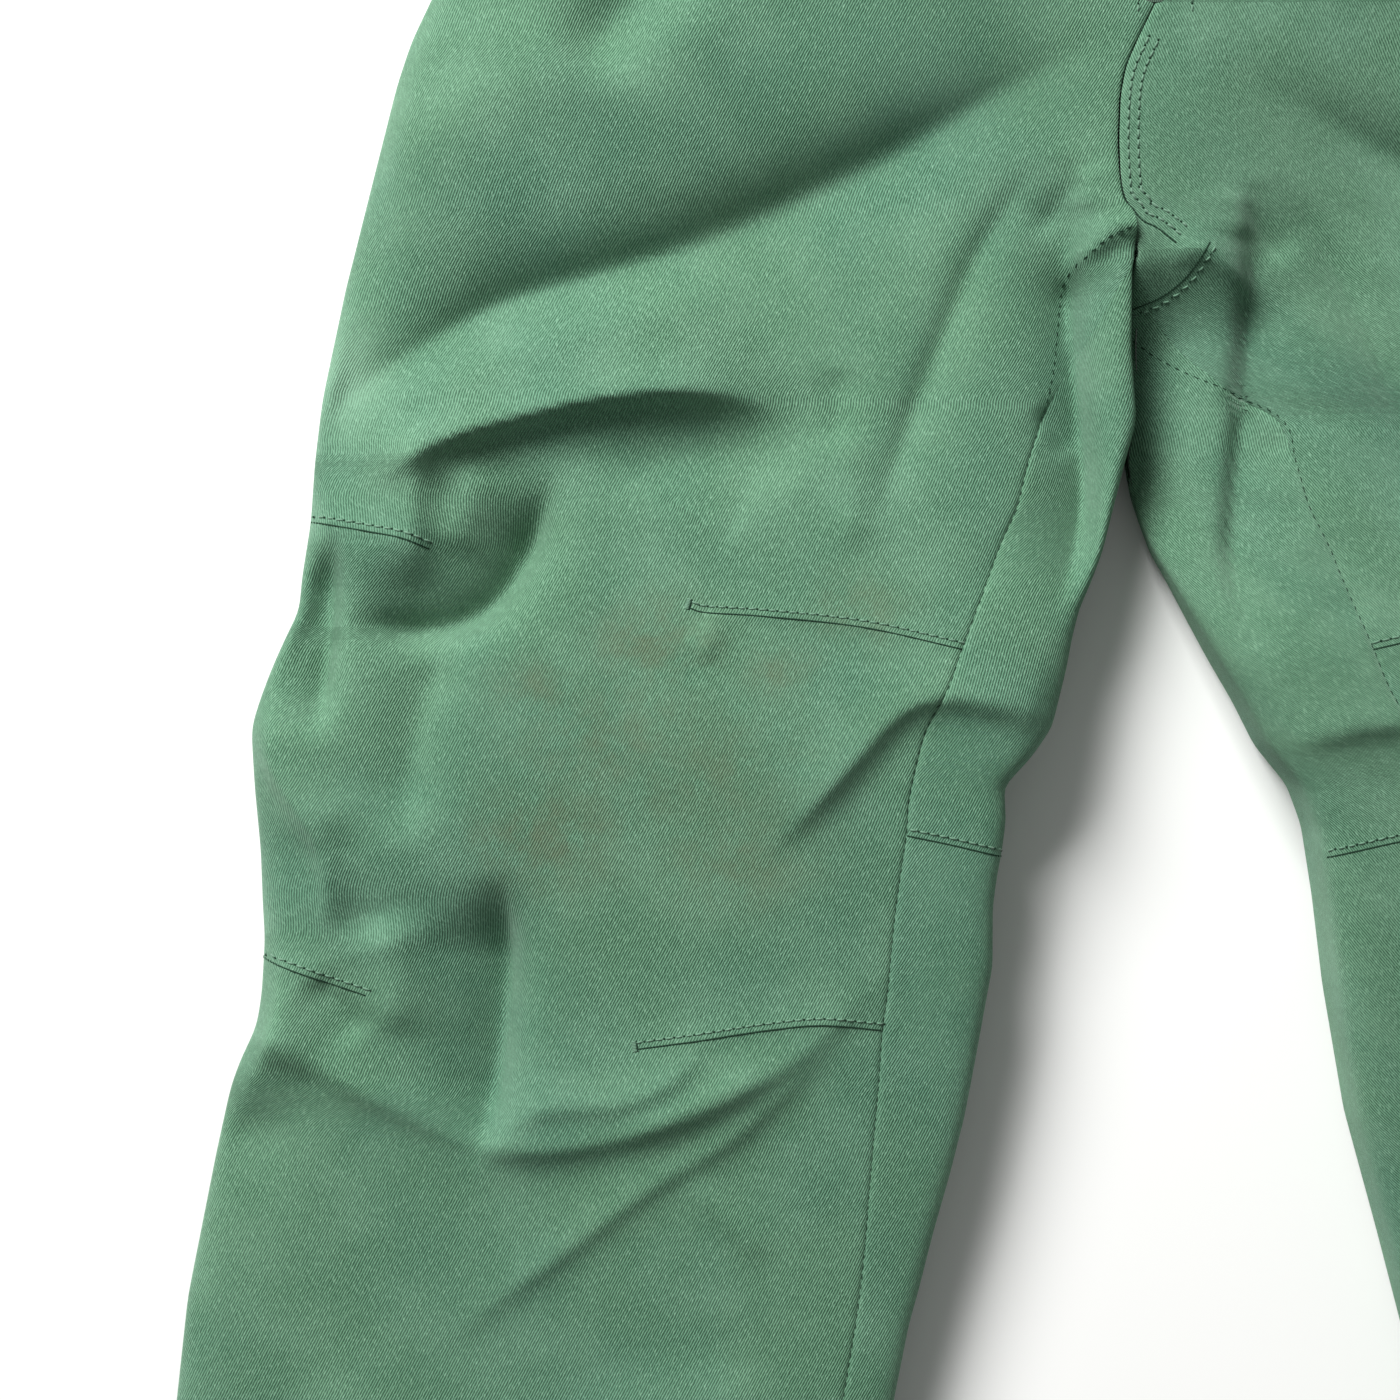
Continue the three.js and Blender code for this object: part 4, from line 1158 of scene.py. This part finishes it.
def lining_tubes(side):
    """The lining of the seat and the leg, inside the shell all the way down to the hem."""
    rows = rows_down(side, LINING_UNDER, LINING_STEP, LINING_END, LINING_ROWS)
    grid = slack(around(rows, LINING_INSET))
    z = grid[..., 2]
    behind_pouch = smoothstep(rows.rise, *POUCH_FROM) - smoothstep(rows.rise, *POUCH_TO)
    z -= POUCH_ROOM * behind_pouch[:, None] * smoothstep(z, *POUCH_FRONT)
    normals = grid_normals(grid, DOWN)
    uv = flat_uv(grid, 1)
    covers = {"upper": ["seat_lining", "thigh_lining"], "lower": ["shin_lining"]}
    for part, cut in halves(rows).items():
        piece = cloth_piece(f"lining_{part}_{side}", grid[cut], normals[cut], uv[cut], LINING_THICK)
        finished(piece, LINING)
        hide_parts(*[f"{node}_{side}" for node in covers[part]])
        follow(piece, side, part)


def hem(side, surfaces):
    """The turned-up hem, a thicker band round the end of the leg."""
    grid = around(leg_rows(side, 1 - HEM_BAND / LEG_LENGTH, 1, RING_ROWS["hem"]), HEM["inset"])
    surfaces.append(grid)
    place = (f"shin_{side}", f"hem_band_{side}")
    sheet_piece(f"hem_{side}", grid, DOWN, HEM["thickness"], TWILL, "shell", *place)


def gaiter(side):
    """The inner snow cuff, gathered in pleats into its elastic."""
    rows = leg_rows(side, *GAITER, RING_ROWS["gaiter"])
    grid = around(rows, GAITER_INSET)
    down = np.linspace(0, 1, len(rows.q))[:, None]
    turn = np.linspace(0, 2 * np.pi * PLEATS, grid.shape[1])[None, :]
    pleat = 1 + np.cos(turn + PLEAT_SWAY[0] * np.sin(turn / PLEAT_SWAY[1]))
    inward = GAITER_IN * smoothstep(down, GAITER_IN_FROM, 1) + PLEAT_DEEP * down * pleat
    grid = grid - grid_normals(grid, DOWN) * inward[..., None]
    place = (f"shin_{side}", f"snow_gaiter_{side}")
    sheet_piece(f"gaiter_{side}", grid, DOWN, LINING_THICK, LINING, "lining", *place)
    rows = leg_rows(side, GAITER[1], GAITER[1] + GAITER_ELASTIC["long"], RING_ROWS["elastic"])
    grid = around(rows, GAITER_ELASTIC["inset"])
    place = (f"shin_{side}", f"gaiter_elastic_{side}")
    sheet_piece(f"gaiter_band_{side}", grid, DOWN, GAITER_ELASTIC["thickness"], ELASTIC, "elastic", *place)


# ---------------------------------------------------------------- waistband
BAND_THICK = 2.4
BAND_INSET = -0.5
BAND_ROLL = 1.1  # how far the band's edges turn in
BAND_ROLL_REACH = 0.9
BAND_COLUMNS = {"front": 90, "back": 180}
GATHER_PITCH = 5.4
GATHER_DEEP = 0.55
GATHER_SWAY = (1.3, 13)  # the gathers lie off an even pitch: how far, and how slowly that changes
GATHER_FADE = 9
ELASTIC_HALF = 112
ELASTIC_THICK = 1.4
ELASTIC_GAP = 0.3
EDGE = np.array([0, 0.3, 0.8, 1.6, 3])  # rows near a band's edge
INNER_ROWS = (5, 10)  # then from this far in, so many
BAG_Y = (36, 162)  # a pocket bag's ends, up from the crotch
BAG_STEP = 2.5
BAG_INSET = 6.3
BAG_THICK = 0.9
BAG_ACROSS = (0.2, 0.8)  # shares of the seat's front from the outer fold to the centre
BAG_NARROW = 0.55  # its ends' width for its middle's
BAG_POWER = 6  # how square its outline is


def waistband(surfaces):
    """Front bands from the fly to the sides, and the back band gathered over its elastic."""
    inner = np.linspace(INNER_ROWS[0], WAISTBAND - INNER_ROWS[0], INNER_ROWS[1])
    height = np.concatenate([EDGE, inner, WAISTBAND - EDGE[::-1]])[::-1]
    seat_y = RISE - WAISTBAND + height
    edges = np.exp(-height / BAND_ROLL_REACH) + np.exp(-(WAISTBAND - height) / BAND_ROLL_REACH)
    sunk = BAND_ROLL * edges[:, None]
    back = {}
    for side in SIDES:
        rows = Rows(side, seat_y, 0 * seat_y)
        across = columns(rows.width(), FOLD_STEPS, SEAM_STEPS, BAND_COLUMNS["front"])
        grid = lay_front(rows, across, BAND_INSET)
        grid[..., 2] -= sunk
        surfaces.append(grid)
        place = ("seat", f"waistband_front_{side}")
        sheet_piece(f"band_{side}", grid, UP, BAND_THICK, TWILL, "shell", *place)
        across = columns(rows.width(), [0, 1], FOLD_STEPS, BAND_COLUMNS["back"])
        back[side] = lay_back(rows, across, BAND_INSET)
    grid = np.concatenate([back["left"][:, ::-1], back["right"][:, 1:]], 1)
    x = grid[..., 0]
    uneven = x + GATHER_SWAY[0] * np.sin(x / GATHER_SWAY[1])
    gathers = np.sin(2 * np.pi * uneven / GATHER_PITCH) * smoothstep(ELASTIC_HALF - np.abs(x), 0, GATHER_FADE)
    ripple = GATHER_DEEP * gathers * np.sin(np.pi * height / WAISTBAND)[:, None] ** 0.5
    grid[..., 2] += sunk + GATHER_DEEP - ripple
    surfaces.append(grid)
    sheet_piece("band_back", grid, DOWN, BAND_THICK, TWILL, "shell", "seat", "waistband_back")
    elastic_strip(grid)


def elastic_strip(band):
    """The wide elastic inside the back waistband."""
    inside = len(EDGE) - 1
    grid = band[inside:-inside][:, np.abs(band[0, :, 0]) < ELASTIC_HALF].copy()
    grid[..., 2] += BAND_THICK + ELASTIC_GAP
    sheet_piece("back_elastic", grid, DOWN, ELASTIC_THICK, ELASTIC, "elastic", "seat", "back_waist_elastic")


def pocket_bag(side):
    """The flat pouch behind the hand pocket's opening, between the shell and the lining."""
    y = np.arange(BAG_Y[1], BAG_Y[0], -BAG_STEP)
    rows = Rows(side, y, 0 * y)
    round_end = np.sqrt(np.clip(1 - np.linspace(-1, 1, len(y)) ** BAG_POWER, 0, 1))[:, None]
    from_middle = np.linspace(*BAG_ACROSS, BAND_COLUMNS["front"])[None, :] - 0.5
    share = 0.5 + from_middle * (BAG_NARROW + (1 - BAG_NARROW) * round_end)
    grid = lay_front(rows, share * rows.width()[:, None], BAG_INSET)
    place = ("seat", f"pocket_bag_{side}")
    sheet_piece(f"pocket_pouch_{side}", grid, UP, BAG_THICK, LINING, "lining", *place)


# ---------------------------------------------------------------- small parts from their CAD nodes
MERGE = 1e-6  # metres
FLAT_ANGLE = math.radians(2)  # faces of a CAD solid that meet at less are one
BEVEL_ANGLE = math.radians(30)
SMOOTH_ANGLE = math.radians(50)
ACROSS_ENDS = [[(0, 0), (1, 0)], [(0, 1), (1, 1)]]  # rows of stitching, as shares of a part's box
ALL_ROUND = [*ACROSS_ENDS, [(0, 0), (0, 1)], [(1, 0), (1, 1)]]


def refined(node, name, bevel, material):
    """A copy of a CAD node with its flats cleaned, its edges rounded and its cloth coordinates laid on."""
    bm = bmesh.new()
    bm.from_mesh(frame["nodes"][node].data)
    bmesh.ops.remove_doubles(bm, verts=bm.verts, dist=MERGE)
    bmesh.ops.dissolve_limit(bm, angle_limit=FLAT_ANGLE, verts=bm.verts, edges=bm.edges)
    sharp = [e for e in bm.edges if e.is_manifold and e.calc_face_angle() > BEVEL_ANGLE]
    rounding = {"offset_type": "OFFSET", "segments": 3, "profile": 0.5, "affect": "EDGES"}
    bmesh.ops.bevel(bm, geom=sharp, offset=bevel * MM, clamp_overlap=True, **rounding)
    bmesh.ops.remove_doubles(bm, verts=bm.verts, dist=MERGE)
    uv = bm.loops.layers.uv.new("cloth")
    for face in bm.faces:
        face.smooth = True
        axis = max(range(3), key=lambda k: abs(face.normal[k]))
        keep = [k for k in range(3) if k != axis]
        for loop in face.loops:
            loop[uv].uv = [loop.vert.co[k] for k in keep]
    mesh = bpy.data.meshes.new(name)
    bm.to_mesh(mesh)
    bm.free()
    mesh.set_sharp_from_angle(angle=SMOOTH_ANGLE)
    obj = bpy.data.objects.new(name, mesh)
    bpy.context.scene.collection.objects.link(obj)
    finished(obj, material, body_of(frame["nodes"][node])[0])
    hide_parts(node)


def hardware():
    """Belt loops, the tab with its snap, sliders and pulls."""
    loops = ["belt_loop_centre"] + [f"belt_loop_{end}_{side}" for end in ("front", "back") for side in SIDES]
    for node in loops:
        refined(node, f"{node}_strap", 0.4, TWILL)
    refined("waist_tab", "waist_tab_strap", 0.5, TWILL)
    sew_flat("waist_tab", ALL_ROUND)
    for side in SIDES:
        sew_flat(f"belt_loop_front_{side}", ACROSS_ENDS)
    for node in ("waist_snap_cap", "waist_snap_socket", "waist_snap_stud"):
        refined(node, f"{node}_round", 0.25, METAL)
    for what in ("fly", *[f"pocket_{side}" for side in SIDES]):
        kind, _, side = what.partition("_")
        for part, bevel in (("slider", 0.4), ("pull", 0.35)):
            node = "_".join([kind, part, side]).strip("_")
            refined(node, f"{node}_cast", bevel, METAL)


def box_mm(node):
    """The two corners of a CAD node's box, in mm from the crotch."""
    return [np.array(corner) / MM - [0, CROTCH_Y, 0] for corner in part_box(node)]


def sew_flat(node, rows):
    """Rows of stitches on the flat top of a small part, inside its edges."""
    low, high = box_mm(node)
    up = Vector(UP)
    # the holes are dark marks of painted shade
    made, holes = Gathered(), Gathered()
    for row in rows:
        points = [tuple(low[:2] + EDGE_STITCH + (high - low - 2 * EDGE_STITCH)[:2] * share) for share in row]
        for (x, y), (wx, wy) in zip(*resample(points, STITCH_PITCH)):
            spot, along = Vector((x, y, high[2])), Vector((wx, wy, 0))
            made.add(("row",), capsule(STITCH_LENGTH, THREAD), spot + STITCH_OUT * up, along, up)
            holes.add(("row",), capsule(STITCH_HOLE, THREAD), spot + along * STITCH_PITCH / 2, along, up)
    for name, gathered, material in (("stitches", made, THREADS), ("holes", holes, CREVICE_SHADE)):
        for obj in gathered.objects(f"{node}_{name}").values():
            finished(obj, material, body_of(frame["nodes"][node])[0])


# ---------------------------------------------------------------- zips
TOOTH_PITCH = 1.5
TOOTH = (2.3, 0.55)
TOOTH_PLACE = (0.75, 0.25)  # off the middle of the zip, and out of its tape
TOOTH_MARGIN = 2  # the teeth stop this far from the tape's ends
BEAD = {"high": 0.35, "at": (1.4, 0.5)}  # the cord in a tape's edge
TAPE_THICK = 0.55
TAPE_ROWS = 80
TAPE_EDGE = [0.5, 1.0, 1.6, 2.4, 3.4]  # columns near the tape's edge, then shares of its width
TAPE_SHARES = [0.5, 0.75]
FLY_ZIP_WIDE = 10.5
FLY_ZIP_LIFT = 0.1
POCKET_ZIP_WIDE = 8.5
POCKET_ZIP_SHORT = 2  # its tapes end this much short of the opening, both ends together
POCKET_SLOPE = -0.026  # how its way falls
POCKET_OUT = (-0.0514, 0.0090, 0.9986)


def zip_side(name, node, middle, along, out, inner, length, wide):
    """One tape of a zip with its row of teeth. inner is +1 or -1: the side of the chain the tape is on."""
    along, out = np.array(along), np.array(out)
    across = np.cross(out, along) * inner
    t = np.linspace(-length / 2, length / 2, TAPE_ROWS)[:, None, None]
    s = [*TAPE_EDGE, *(wide * share for share in TAPE_SHARES), wide - TAPE_EDGE[0], wide]
    s = np.array(s)[None, :, None]
    grid = middle + t * along + s * across + BEAD["high"] * bell(s, *BEAD["at"]) * out
    uv = np.concatenate([s + 0 * t, t + 0 * s], -1)
    tape = cloth_piece(f"{name}_tape", grid, grid_normals(grid, out), uv, TAPE_THICK)
    finished(tape, ZIP_TAPE, "seat")
    teeth = Gathered()
    shape = capsule(*TOOTH, sides=8)
    reach = length / 2 - TOOTH_MARGIN
    for at in np.arange(-reach, reach, TOOTH_PITCH) + TOOTH_PITCH / 4 * inner:
        place = middle + at * along + TOOTH_PLACE[0] * across + TOOTH_PLACE[1] * out
        teeth.add(("row",), shape, place, Vector(across), Vector(out))
    chain = teeth.objects(f"{name}_teeth")[("row",)]
    finished(chain, ZIP_TEETH, "seat")
    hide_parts(node)
    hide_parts(node)


def between(first, second):
    """The middle and the size of two CAD nodes taken together, in mm from the crotch."""
    (low_a, high_a), (low_b, high_b) = box_mm(first), box_mm(second)
    low, high = np.minimum(low_a, low_b), np.maximum(high_a, high_b)
    return (low + high) / 2, high - low


def zips():
    """The fly's zip and the zips of both hand pockets."""
    for side, sign in SIDES.items():
        middle, size = between("fly_zip_right", "fly_zip_left")
        middle[2] += FLY_ZIP_LIFT
        along = (0, 1, 0)
        zip_side(f"fly_{side}", f"fly_zip_{side}", middle, along, UP, -sign, size[1], FLY_ZIP_WIDE)
        middle, _ = between(f"pocket_zip_inner_{side}", f"pocket_zip_outer_{side}")
        along = np.array([POCKET_WAY[0] * -sign, POCKET_WAY[1], POCKET_SLOPE])
        along /= np.linalg.norm(along)
        out = (POCKET_OUT[0] * -sign, *POCKET_OUT[1:])
        size = (POCKET_LONG - POCKET_ZIP_SHORT, POCKET_ZIP_WIDE)
        for part, inner in (("inner", -sign), ("outer", sign)):
            names = (f"pocket_{part}_{side}", f"pocket_zip_{part}_{side}")
            zip_side(*names, middle, along, out, inner, *size)


# The welt's section: from the opening's edge outward, and its height over the cloth.
WELT = [(-0.9, -2.2), (-0.9, -0.6), (-0.6, 0.5), (0.2, 0.95), (1.6, 0.95), (3, 0.8), (3.5, 0.2), (3.6, -0.7)]
WELT_THICK = 0.45
WELT_STITCHED = 5  # the point of the section that the stitching runs along
WELT_POINTS = {"end": 14, "side": 60, "stitched": 6}  # round each end, along each side, one in so many
SHIELD_THICK = 0.9
SHIELD_WAVE = 0.35
SHIELD_WAVES = (17, 9)  # how slowly it waves along and across
SHIELD_GRID = (60, 24)
SHIELD_TIP = 0.02  # the square of the share of its width at which the flap ends


def pocket_welt(side, sewing):
    """The rounded frame of cloth round the hand pocket's opening, with a row of stitching."""
    mirror = np.array([-SIDES[side], 1])
    radius = POCKET_WIDE / 2
    straight_half = POCKET_LONG / 2 - radius
    turn = np.linspace(-np.pi / 2, np.pi / 2, WELT_POINTS["end"])
    cap = np.stack([np.cos(turn), np.sin(turn)], -1)
    straight = np.linspace(straight_half, -straight_half, WELT_POINTS["side"])[1:-1]
    upper = np.stack([straight, np.full(len(straight), radius)], -1)
    end = radius * cap + [straight_half, 0]
    loop = np.vstack([end, upper, -end, -upper, end[:1]])
    beside = np.tile([0, 1], (len(straight), 1))
    outward = np.vstack([cap, beside, -cap, -beside, [[0, -1]]])
    way = mirror * POCKET_WAY
    across = np.array([-way[1], way[0]])
    grid = []
    for offset, height in WELT:
        spots = loop + outward * offset
        plan = mirror * POCKET_MIDDLE + spots[:, :1] * way + spots[:, 1:] * across
        grid.append([[x, y, sewing.surface.drop(x, y)[0].z + height] for x, y in plan])
    grid = np.array(grid)
    sheet_piece(f"pocket_welt_{side}", grid, UP, WELT_THICK, TWILL, "shell", "seat")
    sewing.row([tuple(p) for p in grid[WELT_STITCHED][::WELT_POINTS["stitched"], :2]], side=side)


def fly_shield():
    """The flap of lining behind the fly zip, wavy and rounded at its lower end."""
    low, high = box_mm("fly_shield")
    y = np.linspace(high[1], low[1], SHIELD_GRID[0])
    past_round = np.clip(high[0] - (y - low[1]), 0, None) / high[0]
    half = high[0] * np.sqrt(np.clip(1 - past_round**2, SHIELD_TIP, 1))
    s = np.linspace(-1, 1, SHIELD_GRID[1])
    x = half[:, None] * s
    z = high[2] + SHIELD_WAVE * np.sin(y / SHIELD_WAVES[0])[:, None] * np.cos(x / SHIELD_WAVES[1])
    grid = np.stack([x, np.repeat(y[:, None], len(s), 1), z], -1)
    piece = cloth_piece("fly_shield_flap", grid, grid_normals(grid, UP), grid[..., :2], SHIELD_THICK)
    finished(piece, LINING, "seat")
    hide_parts("fly_shield")


# ---------------------------------------------------------------- seams of the shell
EDGE_ROW = 2.6  # rows of stitching lie this far from the edges of a band
ROW_END = 5  # and end this far from the side folds
BAND_SEAM = RISE - WAISTBAND - 0.4
BAND_ROWS = (RISE - EDGE_ROW, RISE - WAISTBAND + EDGE_ROW)
CENTRE_ROWS = (-2.5, -5.2)  # both beside the centre seam
BELOW_FLY = 2  # the fly's stitching starts this far below it


def hem_row(side):
    """The row of stitching that holds the turned-up hem."""
    q = 1 - (HEM_BAND - EDGE_ROW) / LEG_LENGTH
    row = Rows(side, np.zeros(1), np.array([q]))
    outer, inner = np.concatenate([[row.outer_x, row.outer_y], [row.inner_x, row.inner_y]], 1).T
    inset = (inner - outer) * ROW_END / row.width()
    return [tuple(outer + inset), tuple(inner - inset)]


def sew_shell(sewing):
    """Every seam, dart and row of stitching that shows on the front and the back."""
    seam_from = sum(CURL_FROM) / 2
    for side, sign in SIDES.items():
        for dart in DARTS + STRIP_DARTS:
            line = mirrored_line(dart, sign)
            sewing.seam(line, side)
            sewing.row(line, EDGE_STITCH, side=side)
        for dart in DARTS[2:]:
            (x, y), (nx, ny) = mirrored_line(dart, sign)[::-sign][:2]
            way = np.array([nx - x, ny - y]) / math.hypot(nx - x, ny - y)
            sewing.bartack((x, y), way * -sign, side)
        sewing.sunk_row(CROTCH_SEAM[side] + [p for p in INSEAM[side] if p[1] < seam_from], side)
        for y in BAND_ROWS:
            row = [(sign * (FLY_HALF + EDGE_ROW), y), (sign * (-outer_line(y) - ROW_END), y)]
            sewing.row(row)
        sewing.seam([(x, BAND_SEAM) for x, _ in row])
        x = sign * (FLY_HALF + EDGE_STITCH)
        sewing.row([(x, FLY_FROM - BELOW_FLY), (x, BAND_SEAM)])
        for front in (True, False):
            sewing.row(hem_row(side), front=front, side=side)
    for y in BAND_ROWS:
        reach = -outer_line(y) - ROW_END
        sewing.row([(-reach, y), (reach, y)], front=False)
    sewing.seam(GUSSET_SEAM, "left")
    sewing.row(GUSSET_SEAM, EDGE_STITCH, side="left")
    centre = [p for p in CENTRE_SEAM if p[1] < FLY_FROM]
    for offset in CENTRE_ROWS:
        sewing.row(centre, offset)
    sewing.seam(centre)
    # the dark marks take the painted crevice shade
    for name, made, material in (("stitches", sewing.stitches, THREADS), ("seam", sewing.dark, CREVICE_SHADE)):
        for (side, part), obj in made.objects(name).items():
            finished(obj, material)
            follow(obj, side, part)


# ---------------------------------------------------------------- floor, light and camera
CAMERA_AT = (-0.1256, -0.0078, 0.93)
CAMERA_LENS = 85.7
FLOOR_SIZE = 6.0
FLOOR_Z = -0.0006
LAMP_AT = (-1.0, 1.48, 1.4)
LAMP_SIZE = 1.0
LAMP_POWER = 92
FILL = 0.22


def studio():
    """A pale floor, one broad soft lamp from the upper left, and the camera straight above."""
    cells = {"x_subdivisions": 8, "y_subdivisions": 8}
    bpy.ops.mesh.primitive_grid_add(size=FLOOR_SIZE, location=(0, 0, FLOOR_Z), **cells)
    floor = bpy.context.object
    floor.name = "floor"
    floor.data.materials.append(paper())
    lamp = bpy.data.objects.new("key", bpy.data.lights.new("key", "AREA"))
    lamp.data.size = LAMP_SIZE
    lamp.data.energy = LAMP_POWER
    lamp.location = LAMP_AT
    lamp.rotation_euler = (-Vector(LAMP_AT)).to_track_quat("-Z", "Y").to_euler()
    bpy.context.scene.collection.objects.link(lamp)
    world = bpy.data.worlds.new("studio")
    world.use_nodes = True
    world.node_tree.nodes["Background"].inputs["Color"].default_value = (1, 1, 1, 1)
    world.node_tree.nodes["Background"].inputs["Strength"].default_value = FILL
    bpy.context.scene.world = world
    camera = bpy.data.objects.new("camera", bpy.data.cameras.new("camera"))
    camera.data.lens = CAMERA_LENS
    camera.location = CAMERA_AT
    bpy.context.scene.collection.objects.link(camera)
    bpy.context.scene.camera = camera
    bpy.context.scene.view_settings.view_transform = "Standard"


# ---------------------------------------------------------------- the whole garment
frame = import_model()
surfaces = []
for side in SIDES:
    shell(side, surfaces)
    hem(side, surfaces)
    lining_tubes(side)
    gaiter(side)
    pocket_bag(side)
waistband(surfaces)
fly_shield()
zips()
hardware()
sewing = Sewing(Surface(surfaces))
for side in SIDES:
    pocket_welt(side, sewing)
sew_shell(sewing)
studio()
